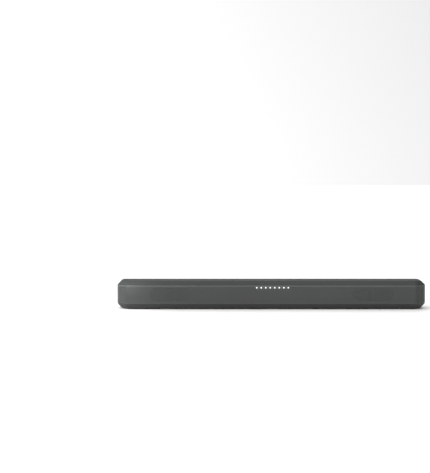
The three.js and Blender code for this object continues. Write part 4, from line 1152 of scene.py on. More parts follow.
def driver_frame(name):
    """The flange and basket, with an open window through each end of the basket's slope."""
    x, y0 = middle_of(name + "_cone").x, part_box(name + "_driver_frame")[0].y
    half = (52 * MM, 19.7 * MM)
    eased = (half[0] - 0.3 * MM, half[1] - 0.3 * MM)
    hole = COIL + 0.6 * MM
    body = Body()

    def level(sections):
        return [body.ring(oval(x, (w, h), y0 + y * MM)) for w, h, y in sections]

    wide, tall = MOUTH
    outer = level((
        (*eased, 0), (*half, 0.3), (*half, 1.2), (*eased, 1.5),
        (wide + 2.5 * MM, tall + 2.5 * MM, 1.5),
        (wide + 2 * MM, tall + 2 * MM, 2), (wide + 2 * MM, tall + 2 * MM, 6),
        (42 * MM, tall + 1.7 * MM, 7.6), (26 * MM, tall + 0.7 * MM, 12.8), (22 * MM, tall + 0.5 * MM, 14),
        (22 * MM, tall + 0.5 * MM, 15.7), (21.7 * MM, tall + 0.2 * MM, 16),
    ))
    inner = level((
        (wide, tall, 0), (wide, tall, 5.5),
        (40.5 * MM, tall - 0.2 * MM, 7.2), (25 * MM, tall - 0.8 * MM, 11.6),
        (20.5 * MM, tall - 1 * MM, 12.5), (hole, hole, 14.2), (hole, hole, 16),
    ))
    count = len(outer[0])
    window = [i for i in range(count) if abs(math.cos(math.tau * (i + 1) / count)) > 0.72]
    for rings, open_row in ((outer, 7), (inner, 2)):
        for row, (a, b) in enumerate(zip(rings, rings[1:])):
            for i in range(count):
                if row == open_row and i in window:
                    continue
                body.face(a[i], a[(i + 1) % count], b[(i + 1) % count], b[i])
    body.wall(outer[0], inner[0])
    body.wall(outer[-1], inner[-1])
    (oa, ob), (ia, ib) = outer[7:9], inner[2:4]
    for i in window:
        j = (i + 1) % count
        body.face(oa[i], oa[j], ia[j], ia[i])
        body.face(ob[i], ob[j], ib[j], ib[i])
        if (i - 1) % count not in window:
            body.face(oa[i], ob[i], ib[i], ia[i])
        if j not in window:
            body.face(oa[j], ob[j], ib[j], ia[j])
    tip = [math.copysign(abs(x) - reach * MM, x) for reach in (21, 26)]
    body.block(
        (min(tip), y0 + 14.5 * MM, belt_middle - 3 * MM),
        (max(tip), y0 + 16 * MM, belt_middle + 3 * MM), 0.2 * MM, 3,
    )
    made = body.piece(name + "_driver_basket", pressed_steel)
    stands_for(made, "root", "zinc_steel", name + "_driver_frame")
    return x, y0


def driver(name):
    x, y0 = driver_frame(name)
    moving = name + "_moving_system"
    back, face = y0 - 0.3 * MM, y0 - 1.1 * MM

    def across(offset, y):
        return (MOUTH[0] - offset, MOUTH[1] - offset, y)

    def rolled(level):
        shares = [i / 12 for i in range(13)]
        return [across(ROLL * t, level - 0.55 * ROLL * math.sin(t * math.pi)) for t in shares]

    # The surround: a half roll of rubber between a flat rim and the cone's edge.
    body = Body()
    sections = [
        across(0.15 * MM - RIM, face), *rolled(face),
        across(ROLL + 1.85 * MM, face), across(ROLL + 2 * MM, face + 0.15 * MM),
        across(ROLL + 2 * MM, back), *reversed(rolled(back)),
        across(-RIM, back), across(-RIM, face + 0.15 * MM),
    ]
    rings = [body.ring(oval(x, (w, h), y)) for w, h, y in sections]
    body.wall(*rings, rings[0])
    stretches(
        body.piece(name + "_surround_rubber", butyl_rubber), name + "_surround",
        (x, MOUTH[0] - MOUTH[1]), (MOUTH[1] - ROLL, MOUTH[1]),
    )

    # The cone: oval at the surround and round at the coil, with three pressed stiffening ribs.
    body = Body()
    paper = 0.6 * MM
    steps = 18
    front_face, back_face = [], []
    for i in range(steps + 1):
        t = i / steps
        ribbed = 0.12 < t < 0.88 and i % 2
        rib = -RIB * max(0, math.sin(math.pi * 7 * t)) if ribbed else 0
        size = [CONE[k] + (NECK - CONE[k]) * t for k in (0, 1)]
        y = y0 + 8 * MM * t + rib
        front_face.append(body.ring(oval(x, size, y)))
        back_face.append(body.ring(oval(x, [half + paper for half in size], y + paper)))
    body.wall(*front_face, *reversed(back_face), front_face[0])
    stands_for(body.piece(name + "_cone_paper", cone_paper), moving, "cone_paper", name + "_cone")

    # The dust cap: a shallow paper dome glued over the coil's end.
    body = Body()
    edge, top, thick = y0 + 6.7 * MM, y0 + 3.5 * MM, 0.5 * MM
    shares = [i / 10 for i in range(11)]
    dome = [(COIL * t, top + (edge - thick - top) * t ** 2) for t in shares]
    turned(body, x, [*dome, *((r, y + thick) for r, y in reversed(dome))])
    stands_for(body.piece(name + "_dust_cap_paper", cone_paper), moving, "cone_paper", name + "_dust_cap")

    # The coil: a paper former, with one layer of wire wound round its back half.
    body = Body()
    inside, former = COIL - 0.8 * MM, COIL - 0.4 * MM
    turned(body, x, [
        (inside, y0 + 7 * MM), (former, y0 + 7 * MM), (former, y0 + 21 * MM), (inside, y0 + 21 * MM),
    ])
    body.finish = 1
    winding = [
        (former + (0.4 if i % 2 else 0.2) * MM, y0 + (13 + 8 * i / (2 * COIL_TURNS)) * MM)
        for i in range(2 * COIL_TURNS + 1)
    ]
    turned(body, x, [(former - 0.1 * MM, y0 + 13 * MM), *winding, (former - 0.1 * MM, y0 + 21 * MM)])
    made = body.piece(name + "_voice_coil_wound", former_paper, enamelled_copper)
    stands_for(made, moving, "coil_copper", name + "_voice_coil")

    # The spider: a disc of stiffened cloth with two waves, from the coil out to the basket.
    body = Body()
    start, end = COIL + 0.6 * MM, MOUTH[1] - 1.8 * MM
    waves = [
        (start + (end - start) * i / 24, 0.25 * MM * (1 - math.cos(math.tau * 2 * i / 24))) for i in range(25)
    ]
    front_face = [(r, y0 + 9.8 * MM + lift) for r, lift in waves]
    turned(body, x, [*front_face, *((r, y + 0.4 * MM) for r, y in reversed(front_face))])
    stretches(
        body.piece(name + "_spider_woven", spider_cloth), name + "_spider",
        (x, 0), (start, end),
    )

    # The magnet: a ring with ground edges, between the basket and the yoke.
    body = Body()
    inside, outside = COIL + 1.6 * MM, 17 * MM
    ease, start, end = 0.6 * MM, y0 + 16.3 * MM, y0 + 24.5 * MM
    turned(body, x, [
        (inside, start + ease), (inside + ease, start), (outside - ease, start), (outside, start + ease),
        (outside, end - ease), (outside - ease, end), (inside + ease, end), (inside, end - ease),
    ])
    stands_for(body.piece(name + "_magnet_ring", ferrite), "root", "magnet_ferrite", name + "_magnet")

    # The yoke: a turned steel plate whose pole stands inside the coil.
    body = Body()
    pole, plate, rear_face = COIL - 1.4 * MM, y0 + 24.8 * MM, y0 + 28.3 * MM
    turned(body, x, [
        (0, y0 + 13 * MM), (pole - 0.5 * MM, y0 + 13 * MM), (pole, y0 + 13.5 * MM), (pole, plate),
        (outside - 0.3 * MM, plate), (outside, plate + 0.3 * MM), (outside, rear_face - 0.8 * MM),
        (outside - 0.8 * MM, rear_face), (4 * MM, rear_face),
        (3.2 * MM, rear_face - 0.6 * MM), (0, rear_face - 0.6 * MM),
    ])
    stands_for(body.piece(name + "_yoke_turned", pressed_steel), "root", "zinc_steel", name + "_yoke")


driver("left")
driver("right")

# ---------------------------------------------------------------- wadding
# A bat of white polyester wool, cut to length and pushed into the back of each chamber to damp the sound.
# It puffs out between its cut ends, and its fibres lie every way.


def polyester_wool():
    """Matt white, with tangled fibres about 1 mm apart, drawn coarser than real ones so that they show."""
    made, shader, place = surface("polyester_wool", "#d8d8d3", 1.0, Sheen_Weight=0.5, Sheen_Roughness=0.6)
    tree = made.node_tree
    tangle = put(tree, "ShaderNodeTexNoise", {
        "Vector": place, "Scale": 1 / (3 * MM), "Detail": 8, "Distortion": 3,
    })
    tones = put(tree, "ShaderNodeMix", {
        "Factor": tangle.outputs[0], 6: linear("#b9b9b4"), 7: linear("#efefea"),
    }, data_type="RGBA")
    tree.links.new(tones.outputs[2], shader.inputs["Base Color"])
    relief = put(tree, "ShaderNodeBump", {
        "Height": tangle.outputs[0], "Strength": 0.9, "Distance": 0.8 * MM,
    })
    tree.links.new(relief.outputs[0], shader.inputs["Normal"])
    return made


wool = polyester_wool()


def wadding(name):
    low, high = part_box(name + "_wadding")
    middle, half = (low + high) / 2, (high - low) / 2
    body = Body()
    rings = []
    lengths, turns = 48, 40
    for i in range(lengths + 1):
        along = -math.cos(math.pi * i / lengths)
        swell = (1 - abs(along) ** 5) ** 0.4 if 0 < i < lengths else 0.12
        ring = []
        for j in range(turns):
            t = math.tau * j / turns
            c, d = math.cos(t), math.sin(t)
            reach = (abs(c) ** 4 + abs(d) ** 4) ** -0.25
            tuft = 0.94 + 0.04 * math.sin(9 * along + 3 * t) + 0.02 * math.sin(31 * along - 5 * t)
            spread = reach * swell * tuft
            ring.append((
                middle.x + half.x * along * 0.99,
                middle.y + half.y * c * spread,
                middle.z + half.z * d * spread,
            ))
        rings.append(body.ring(ring))
    body.skin(*rings)
    made = body.piece(name + "_wadding_bat", wool, crease=60)
    stands_for(made, "root", "wadding", name + "_wadding")


wadding("left")
wadding("right")

# ---------------------------------------------------------------- display board and remote receiver
# A narrow upright board behind the light guide, with a white diode behind each pin. Beside it sits the
# remote control's receiver, a black block with a round lens that looks out through the grille.
display_low, display_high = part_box("display_board")
LIGHTS = 8
LIGHT_PITCH = 10.2 * MM
guide_low, guide_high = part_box("light_guide")
light_z = (guide_low.z + guide_high.z) / 2
light_middle = (guide_low.x + guide_high.x) / 2
light_x = [light_middle + (i - (LIGHTS - 1) / 2) * LIGHT_PITCH for i in range(LIGHTS)]
# A diode's package is satin white. The receiver's lens is smoked acrylic, nearly black and glossy.
diode = grained("white_diode_package", ("#e6e4da", "#dcdacf"), (0.3, 0.4), 0.3 * MM, 0.005 * MM, 3 * MM)
dark_lens = grained("smoked_acrylic_lens", ("#120c10", "#170f14"), (0.06, 0.12), 1 * MM, 0.004 * MM, 5 * MM)
DIODE, LENS = 4, 1


def display_board():
    body = Body()
    board_face = display_high.y - BOARD
    body.block((display_low.x, board_face, display_low.z), display_high, 0.2 * MM, 3)
    body.finish = DIODE
    for x in light_x:
        body.block(
            (x - 1.5 * MM, display_low.y, light_z - 1 * MM),
            (x + 1.5 * MM, board_face + 0.1 * MM, light_z + 1 * MM), 0.2 * MM, 2,
        )
    body.finish = CERAMIC
    for x in light_x:
        body.block(
            (x - 1 * MM, board_face - 0.5 * MM, light_z - 4.6 * MM),
            (x + 1 * MM, board_face + 0.1 * MM, light_z - 3.4 * MM),
        )
    made = body.piece("display_board_assembly", *BOARD_FINISHES, diode)
    stands_for(made, "root", "board_green", "display_board")


def remote_receiver():
    low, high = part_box("remote_receiver")
    x, _, z = (low + high) / 2
    face = low.y + 1.5 * MM
    body = Body()
    body.block((low.x, face, low.z), high, 0.3 * MM, 4)
    body.finish = LENS
    levels = [(2, 1.7), (2, 0.6), (1.85, 0.3), (1.4, 0.1)]
    rings = [body.ring(upright(circle(x, z, 0, r * MM, 32), low.y + y * MM)) for r, y in levels]
    body.wall(*rings)
    body.lid(rings[0])
    body.hub(rings[-1], (x, low.y, z))
    made = body.piece("remote_receiver_lens", black_epoxy, dark_lens)
    stands_for(made, "root", "inner_black", "remote_receiver")


display_board()
remote_receiver()

# ---------------------------------------------------------------- light guide
# One clear acrylic moulding behind the baffle: a bar with eight round pins that end in small domes in the
# grille's holes. A diode behind each pin lights it white.
clear_acrylic, acrylic_shader, acrylic_place = surface(
    "clear_acrylic_lit", "#e9eeec", 0.12, IOR=1.49, Emission_Color=linear("#f4f7f5"), Emission_Strength=0.05,
)
haze = put(clear_acrylic.node_tree, "ShaderNodeTexNoise", {"Vector": acrylic_place, "Scale": 1 / (2 * MM)})
haze_gloss = put(clear_acrylic.node_tree, "ShaderNodeMapRange", {
    "Value": haze.outputs[0], "To Min": 0.08, "To Max": 0.2,
})
clear_acrylic.node_tree.links.new(haze_gloss.outputs[0], acrylic_shader.inputs["Roughness"])
lit_tip = surface(
    "acrylic_pin_tip_lit_white", "#ffffff", 0.2, IOR=1.49,
    Emission_Color=linear("#fbfdfa"), Emission_Strength=0.7,
)[0]
CLEAR, LIT = range(2)

LIGHT_RADIUS = 1.5 * MM
TIP_DOME = 0.35 * MM


def light_guide():
    body = Body()
    bar_front = guide_high.y - 2.4 * MM
    middle = Vector(((guide_low.x + guide_high.x) / 2, light_z))
    half = ((guide_high.x - guide_low.x) / 2, (guide_high.z - guide_low.z) / 2)

    def level(shrink, y):
        size = (half[0] - shrink, half[1] - shrink)
        return body.ring(upright(rounded_box(*middle, 0, size, 1 * MM), y))

    bar = [level(shrink, y) for shrink, y in (
        (0.3 * MM, bar_front), (0, bar_front + 0.3 * MM),
        (0, guide_high.y - 0.3 * MM), (0.3 * MM, guide_high.y),
    )]
    body.wall(*bar)
    body.lid(bar[-1])
    roots = []
    for x in light_x:
        def turn(radius, y):
            return body.ring(upright(circle(x, light_z, 0, radius, 28), y))

        body.finish = CLEAR
        shaft = [turn(LIGHT_RADIUS, bar_front), turn(LIGHT_RADIUS, front + TIP_DOME)]
        body.wall(*shaft)
        body.finish = LIT
        dome = [shaft[-1]]
        for share in (0.85, 0.6, 0.3):
            dome.append(turn(LIGHT_RADIUS * share, front + TIP_DOME * share ** 2))
        body.wall(*dome)
        body.hub(dome[-1], (x, front, light_z))
        body.finish = CLEAR
        roots.append(shaft[0])
    body.lid(bar[0], *roots)
    made = body.piece("light_guide_moulding", clear_acrylic, lit_tip)
    stands_for(made, "root", "light_clear", "light_guide")


light_guide()

# ---------------------------------------------------------------- front grille
# One sheet of perforated steel, bent round both ends of the bar, with hexagonal holes 1.5 mm across at
# 2.55 mm centres and eight larger round ones for the lights. The dark grey powder coat is smooth and
# satin, with a paler band of painted highlight along its upper edge.
powder_coat = grained(
    "steel_powder_coated_dark_grey", ("#444745", "#484b49"), (0.4, 0.5), 0.25 * MM, 0.015 * MM, cloud=90 * MM,
)
painted_edge_highlight(powder_coat, belt_high, 4 * MM, "#545856")

STEEL = 1 * MM
STEEL_EDGE = 0.25 * MM
PITCH = LIGHT_PITCH / 4
CELL = PITCH / math.sqrt(3)
HOLE = 0.75 * MM / math.cos(math.pi / 6)
LIGHT_HOLE = 1.65 * MM
ROWS = range(-15, 2)
FIELD_END = 353 * MM
sheet_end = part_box("front_grille")[1].y

wrap = softened([Vector(p) for p in (
    (-half_length, sheet_end), (-half_length, front + FRONT_CORNER[1]),
    (-half_length + FRONT_CORNER[0], front), (half_length - FRONT_CORNER[0], front),
    (half_length, front + FRONT_CORNER[1]), (half_length, sheet_end),
)], CORNER_SOFTENING, closed=False)
wrap_at = [0]
for near_point, far_point in zip(wrap, wrap[1:]):
    wrap_at.append(wrap_at[-1] + (far_point - near_point).length)
wrap_at = [s - wrap_at[-1] / 2 for s in wrap_at]


def track_ways(track):
    """The direction of travel at each point of an open path."""
    ways = [(b - a).normalized() for a, b in zip(track, track[1:])]
    return [(a + b).normalized() for a, b in zip([ways[0], *ways], [*ways, ways[-1]])]


wrap_ways = track_ways(wrap)


def on_sheet(s, z, depth):
    """The point at length s from the middle of the front, along the sheet, and depth behind its face."""
    i = next((k for k in range(1, len(wrap) - 1) if wrap_at[k] >= s), len(wrap) - 1)
    share = (s - wrap_at[i - 1]) / (wrap_at[i] - wrap_at[i - 1])
    place = wrap[i - 1].lerp(wrap[i], share)
    way = wrap_ways[i - 1].lerp(wrap_ways[i], share).normalized()
    return (place.x - way.y * depth, place.y + way.x * depth, z)


def front_grille():
    body = Body()
    known = {}

    def corner(i, j, depth):
        """The point i half pitches along and j half cells up from the first light."""
        if (i, j, depth) not in known:
            spot = on_sheet(light_x[0] + i * PITCH / 2, light_z + j * CELL / 2, depth)
            known[i, j, depth], = body.ring([spot])
        return known[i, j, depth]

    cell_corners = ((0, 2), (-1, 1), (-1, -1), (0, -2), (1, -1), (1, 1))
    strip = {(row, column) for row in (-1, 0, 1) for column in range(-1, 4 * LIGHTS - 2 - row % 2)}
    first = math.ceil((-FIELD_END - light_x[0]) / PITCH)
    last = math.floor((FIELD_END - light_x[0]) / PITCH)
    blind = set()
    for light in range(LIGHTS):
        c = 4 * light
        cluster = {(0, c - 1), (0, c), (0, c + 1), (1, c - 1), (1, c), (-1, c - 1), (-1, c)}
        blind |= cluster
        rim = {}
        for row, column in cluster:
            i, j = 2 * column + row % 2, 3 * row
            for di, dj in cell_corners:
                di, dj = i + di - 2 * c, j + dj
                if abs(di) + abs(dj) > 2:
                    rim[di, dj] = math.atan2(dj * CELL / 2, di * PITCH / 2)
        order = sorted(rim, key=rim.get)
        rings = []
        for depth in (0, STEEL):
            outer = [corner(2 * c + di, dj, depth) for di, dj in order]
            hole = body.ring([
                on_sheet(
                    light_x[light] + LIGHT_HOLE * math.cos(rim[k]),
                    light_z + LIGHT_HOLE * math.sin(rim[k]), depth,
                )
                for k in order
            ])
            body.wall(outer, hole)
            rings.append(hole)
        body.wall(*rings)
    for row in ROWS:
        for column in range(first, last + 1 - row % 2):
            i, j = 2 * column + row % 2, 3 * row
            if (row, column) in strip - blind:
                for depth in (0, STEEL):
                    body.face(*(corner(i + di, j + dj, depth) for di, dj in cell_corners))
            if (row, column) in strip | blind:
                continue
            middle_s, middle_z = light_x[0] + i * PITCH / 2, light_z + j * CELL / 2
            rings = []
            for depth in (0, STEEL):
                outer = [corner(i + di, j + dj, depth) for di, dj in cell_corners]
                hole = body.ring([
                    on_sheet(middle_s + HOLE / CELL * di * PITCH / 2, middle_z + HOLE * dj / 2, depth)
                    for di, dj in cell_corners
                ])
                body.wall(outer, hole)
                rings.append(hole)
            body.wall(*rings)

    # The plain border: stations along the sheet, with the field's zigzag edge between the end ones.
    left, right = 2 * first - 1, 2 * last + 1
    low_row, high_row = ROWS[0], ROWS[-1]
    heights = [light_z + (3 * row + step) * CELL / 2 for row in ROWS for step in (-1, 1)]
    beyond = [s for s in wrap_at if s > light_x[0] + (right + 1) * PITCH / 2]
    before = [s for s in wrap_at if s < light_x[0] + (left - 1) * PITCH / 2]

    def rim_loop(s, edge, way, turn):
        """Up the steel's rolled edge, over its end and down its back, at length s."""
        roll = [(edge + way * past, inset) for inset, past in rolled_edge(turn, False)]
        end_z, end_inset = roll[-1]
        roll[-1:] = [(end_z - way * STEEL_EDGE, end_inset), (end_z, end_inset + STEEL_EDGE)]
        roll += [(end_z, end_inset + STEEL - STEEL_EDGE), (end_z - way * STEEL_EDGE, end_inset + STEEL)]
        return body.ring([on_sheet(s, z, depth) for z, depth in [*roll, (roll[0][0], STEEL)]])

    def rim_pair(s):
        bottom = rim_loop(s, belt_low - SEAM / 2, -1, BASE_TURN)
        return {"bottom": bottom, "top": rim_loop(s, belt_high + SEAM / 2, 1, TOP_TURN)}

    def station(s):
        """A column of points up the plain sheet at s: both rims and the front and back faces between them."""
        column = rim_pair(s)
        for part, depth, end in (("front", 0, 0), ("back", STEEL, -1)):
            face = body.ring([on_sheet(s, z, depth) for z in heights])
            column[part] = [column["bottom"][end], *face, column["top"][end]]
        return column

    columns = [rim_pair(light_x[0] + i * PITCH / 2) for i in range(left, right + 1)]
    for a, b in zip(columns, columns[1:]):
        body.wall(a["bottom"], b["bottom"], closed=False)
        body.wall(a["top"], b["top"], closed=False)
    for depth, end in ((0, 0), (STEEL, -1)):
        for i, (a, b) in enumerate(zip(columns, columns[1:]), left):
            for row, rim_name, far, near in ((low_row, "bottom", -2, -1), (high_row, "top", 2, 1)):
                def edge(k):
                    peak = (k - row % 2) % 2 == 0 and 2 * first <= k - row % 2 <= 2 * last - 2 * (row % 2)
                    return corner(k, 3 * row + (far if peak else near), depth)
                if row % 2 and (i == left or i == right - 1):
                    continue
                body.face(edge(i), edge(i + 1), b[rim_name][end], a[rim_name][end])
    for stations, edge_i in (([station(s) for s in before], left), ([station(s) for s in beyond], right)):
        for a, b in zip(stations, stations[1:]):
            for part in ("front", "back", "bottom", "top"):
                body.wall(a[part], b[part], closed=False)
        sheet_edge = stations[0] if edge_i == left else stations[-1]
        body.wall(sheet_edge["front"], sheet_edge["back"], closed=False)
        body.lid(sheet_edge["bottom"])
        body.lid(sheet_edge["top"])
        inner = stations[-1] if edge_i == left else stations[0]
        column = columns[0] if edge_i == left else columns[-1]
        body.wall(inner["bottom"], column["bottom"], closed=False)
        body.wall(inner["top"], column["top"], closed=False)
        for depth, part, end in ((0, "front", 0), (STEEL, "back", -1)):
            zigzag = [column["bottom"][end]]
            for row in ROWS:
                shift = row % 2 if edge_i == left else -(row % 2)
                zigzag += [corner(edge_i + shift, 3 * row + step, depth) for step in (-1, 1)]
            zigzag.append(column["top"][end])
            body.wall(inner[part], zigzag, closed=False)
            for row, rim_name, step in ((low_row, "bottom", -1), (high_row, "top", 1)):
                if row % 2:
                    shift = 1 if edge_i == left else -1
                    neighbour = columns[1] if edge_i == left else columns[-2]
                    body.face(
                        column[rim_name][end],
                        corner(edge_i + shift, 3 * row + step, depth),
                        neighbour[rim_name][end],
                    )
    made = body.piece("front_grille_perforated", powder_coat)
    stands_for(made, "root", "grille_grey", "front_grille")


front_grille()

# ---------------------------------------------------------------- rear panel
# Black ABS again, wrapped round both back corners. Two square bays hold the sockets, so that plugs stay
# inside the bar's depth, and a keyhole near each end takes a wall screw. It slides in between the covers.
SOCKETS = ("mains_inlet", "optical_socket", "video_socket", "data_socket")
MAINS_BAY = (-70 * MM, 40 * MM)
SIGNAL_BAY = (55 * MM, 84 * MM)
BAY_HEIGHT = 24 * MM
BAY_WALL = 2 * MM
BAY_CORNER = 1.5 * MM
KEYHOLE_HEAD, KEYHOLE_SLOT, KEYHOLE_TRAVEL = 4.5 * MM, 2.4 * MM, 9 * MM
KEYHOLE_X = half_length - 40 * MM
AUX_NOSE = 3.2 * MM
END_EASE = 0.02 * MM
bay_floor = socket_face - 0.4 * MM


def keyhole_outline(x, low, grow):
    """A round hole for the screw's head with a narrower slot above it."""
    head, slot = KEYHOLE_HEAD + grow, KEYHOLE_SLOT + grow
    meet = math.acos(slot / head)
    sweep = math.tau - (math.pi - 2 * meet)
    outline = [
        (x + head * math.cos(meet - sweep * i / 24), low + head * math.sin(meet - sweep * i / 24), 0)
        for i in range(25)
    ]
    top = low + KEYHOLE_TRAVEL
    return outline + [
        (x - slot * math.cos(math.pi * i / 10), top + slot * math.sin(math.pi * i / 10), 0) for i in range(11)
    ]


def rear_panel():
    body = Body()
    seam_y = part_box("rear_panel")[0].y
    outline = softened(plan(0), CORNER_SOFTENING)
    half = [p for p in outline if p.x > 0 and p.y > seam_y]
    track = [Vector((half_length - END_EASE, seam_y)), *half]
    track += [Vector((-p.x, p.y)) for p in reversed(track)]
    ways = track_ways(track)
    roll_low = [(belt_low - SEAM / 2 - past, inset) for inset, past in rolled_edge(BASE_TURN, False)]
    roll_high = [(belt_high + SEAM / 2 + past, inset) for inset, past in rolled_edge(TOP_TURN, False)]
    section = [
        (roll_low[-1][0], WALL), (roll_low[-1][0], roll_low[-1][1] + 0.2 * MM), *roll_low[-2::-1],
        *roll_high[:-1], (roll_high[-1][0], roll_high[-1][1] + 0.2 * MM), (roll_high[-1][0], WALL),
    ]
    face_edge = len(roll_low)
    stations = [
        body.ring([(p.x - way.y * inset, p.y + way.x * inset, z) for z, inset in section])
        for p, way in zip(track, ways)
    ]
    flat = len(track) // 2 - 1
    for k, (a, b) in enumerate(zip(stations, stations[1:])):
        for i in range(len(section)):
            j = (i + 1) % len(section)
            if k == flat and i in (face_edge, len(section) - 1):
                continue
            body.face(a[i], a[j], b[j], b[i])
    body.lid(stations[0])
    body.lid(stations[-1])

    face_holes, back_holes = [], []
    windows = {MAINS_BAY: [], SIGNAL_BAY: []}
    for name in SOCKETS:
        low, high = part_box(name)
        bay = MAINS_BAY if low.x < 0 else SIGNAL_BAY
        size = ((high.x - low.x) / 2 + FIT, (high.z - low.z) / 2 + FIT)
        windows[bay].append(rounded_box((low.x + high.x) / 2, (low.z + high.z) / 2, 0, size, 0.6 * MM, 3))
    aux = middle_of("aux_socket")
    windows[SIGNAL_BAY].append(circle(aux.x, aux.z, 0, AUX_NOSE + FIT))
    for (x, width), openings in windows.items():
        def bay_ring(grow, y):
            size = (width / 2 + grow, BAY_HEIGHT / 2 + grow)
            return body.ring(upright(rounded_box(x, belt_middle, 0, size, BAY_CORNER + grow), y))

        inside = [bay_ring(grow, y) for grow, y in (
            (0.5 * MM, rear), (0.15 * MM, rear - 0.15 * MM), (0, rear - 0.5 * MM), (0, bay_floor),
        )]
        outside = [bay_ring(BAY_WALL, y) for y in (bay_floor - BAY_WALL, rear - WALL)]
        body.wall(*inside)
        body.wall(*outside)
        face_holes.append(inside[0])
        back_holes.append(outside[1])
        shown, hidden = [], []
        for opening in openings:
            near, far = (body.ring(upright(opening, y)) for y in (bay_floor, bay_floor - BAY_WALL))
            body.wall(near, far)
            shown.append(near)
            hidden.append(far)
        body.lid(inside[-1], *shown)
        body.lid(outside[0], *hidden)
    for side in (-1, 1):
        low = belt_middle - KEYHOLE_TRAVEL / 2
        rings = [
            body.ring(upright(keyhole_outline(side * KEYHOLE_X, low, grow), y))
            for grow, y in ((0.3 * MM, rear), (0, rear - 0.3 * MM), (0, rear - WALL))
        ]
        body.wall(*rings)
        face_holes.append(rings[0])
        back_holes.append(rings[-1])
    a, b = stations[flat], stations[flat + 1]
    body.lid([a[face_edge], b[face_edge], b[face_edge + 1], a[face_edge + 1]], *face_holes)
    body.lid([a[-1], b[-1], b[0], a[0]], *back_holes)
    made = body.piece("rear_panel_moulding", black_abs)
    stands_for(made, "root", "base_black", "rear_panel")


rear_panel()

# ---------------------------------------------------------------- wires and ribbons
# Grey insulated wires run from the amplifier's terminals through the chamber walls to the drivers, and a
# short lead bridges the boards. Two flat ribbons join the display board and the key board to the main one.
# Their PVC is softly glossy.
wire_sleeve = grained(
    "pvc_wire_sleeve_grey", ("#5f6265", "#6a6d70"), (0.42, 0.52), 0.8 * MM, 0.01 * MM, 12 * MM,
)
WIRE = 1.2 * MM
RIBBON = 0.4 * MM


def through(points, steps):
    """A smooth curve through points, with evenly shared steps, as a centripetal Catmull-Rom spline."""
    ends = [points[0] * 2 - points[1], *points, points[-1] * 2 - points[-2]]
    pieces = []
    for a, b, c, d in zip(ends, ends[1:], ends[2:], ends[3:]):
        t0, t1 = 0, (b - a).length ** 0.5
        t2 = t1 + (c - b).length ** 0.5
        t3 = t2 + (d - c).length ** 0.5
        for i in range(steps):
            t = t1 + (t2 - t1) * i / steps
            ab = a * ((t1 - t) / (t1 - t0)) + b * ((t - t0) / (t1 - t0))
            bc = b * ((t2 - t) / (t2 - t1)) + c * ((t - t1) / (t2 - t1))
            cd = c * ((t3 - t) / (t3 - t2)) + d * ((t - t2) / (t3 - t2))
            abc = ab * ((t2 - t) / (t2 - t0)) + bc * ((t - t0) / (t2 - t0))
            bcd = bc * ((t3 - t) / (t3 - t1)) + cd * ((t - t1) / (t3 - t1))
            pieces.append(abc * ((t2 - t) / (t2 - t1)) + bcd * ((t - t1) / (t2 - t1)))
    return [*pieces, points[-1]]


def wire(name, node, route):
    """A round sleeve of radius WIRE along a smooth route from one terminal to the other."""
    track = through([Vector(p) for p in route], 8)
    body = Body()
    rings = []
    side = None
    for p, way in zip(track, track_ways(track)):
        side = way.orthogonal().normalized() if side is None else (side - way * side.dot(way)).normalized()
        up = way.cross(side)
        turns = [math.tau * i / 20 for i in range(20)]
        rings.append(body.ring([p + (side * math.cos(t) + up * math.sin(t)) * WIRE for t in turns]))
    body.skin(*rings)
    made = body.piece(name, wire_sleeve)
    stands_for(made, "root", "wire_sleeve", node)


main_low, main_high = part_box("main_board")
board_top = main_low.z + BOARD
for wire_side, wire_name, terminal in (
    (-1, "left", main_low.x + 8 * MM), (1, "right", main_high.x - 10 * MM),
):
    wire_y = main_low.y - 1 * MM
    chamber = abs(middle_of(wire_name + "_chamber_wall").x)
    lug = abs(middle_of(wire_name + "_cone").x) - 27.5 * MM
    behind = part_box(wire_name + "_driver_frame")[1].y
    wire(wire_name + "_speaker_wire_sleeve", wire_name + "_speaker_wire", [
        (terminal, main_low.y + 9.5 * MM, board_top + 3.5 * MM),
        (terminal + wire_side * 3 * MM, wire_y, belt_middle),
        (terminal + wire_side * 9 * MM, wire_y, belt_middle),
        (wire_side * chamber, wire_y, belt_middle),
        (wire_side * (chamber + 8 * MM), wire_y, belt_middle),
        (wire_side * (chamber + 35 * MM), behind + 4 * MM, belt_middle - 3 * MM),
        (wire_side * (lug - 10 * MM), behind + 3 * MM, belt_middle + 1 * MM),
        (wire_side * lug, behind - 0.5 * MM, belt_middle),
    ])
lead_y = (main_low.y + main_high.y) / 2 + 12 * MM
lead_z = board_top + FIT + WIRE
lead_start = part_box("power_board")[1].x
wire("power_lead_sleeve", "power_lead", [
    (lead_start - 6 * MM, lead_y, lead_z), (lead_start - 1 * MM, lead_y, lead_z + 3 * MM),
    (main_low.x + 1 * MM, lead_y, lead_z + 3 * MM), (main_low.x + 8 * MM, lead_y, lead_z),
])


def ribbed_film():
    """Cream film with a darker line over each of its conductors, 1 mm apart across the bar."""
    made, shader, place = surface("polyester_ribbon_film", "#c9c8bf", 0.3)
    tree = made.node_tree
    lines = put(tree, "ShaderNodeTexWave", {"Vector": place, "Scale": 0.16 / (0.5 * MM)}, bands_direction="X")
    tones = put(tree, "ShaderNodeMix", {
        "Factor": lines.outputs[1], 6: linear("#b3aea0"), 7: linear("#d6d5cc"),
    }, data_type="RGBA")
    tree.links.new(tones.outputs[2], shader.inputs["Base Color"])
    relief = put(tree, "ShaderNodeBump", {"Height": lines.outputs[1], "Strength": 0.4, "Distance": 0.1 * MM})
    tree.links.new(relief.outputs[0], shader.inputs["Normal"])
    return made


ribbon_film = ribbed_film()


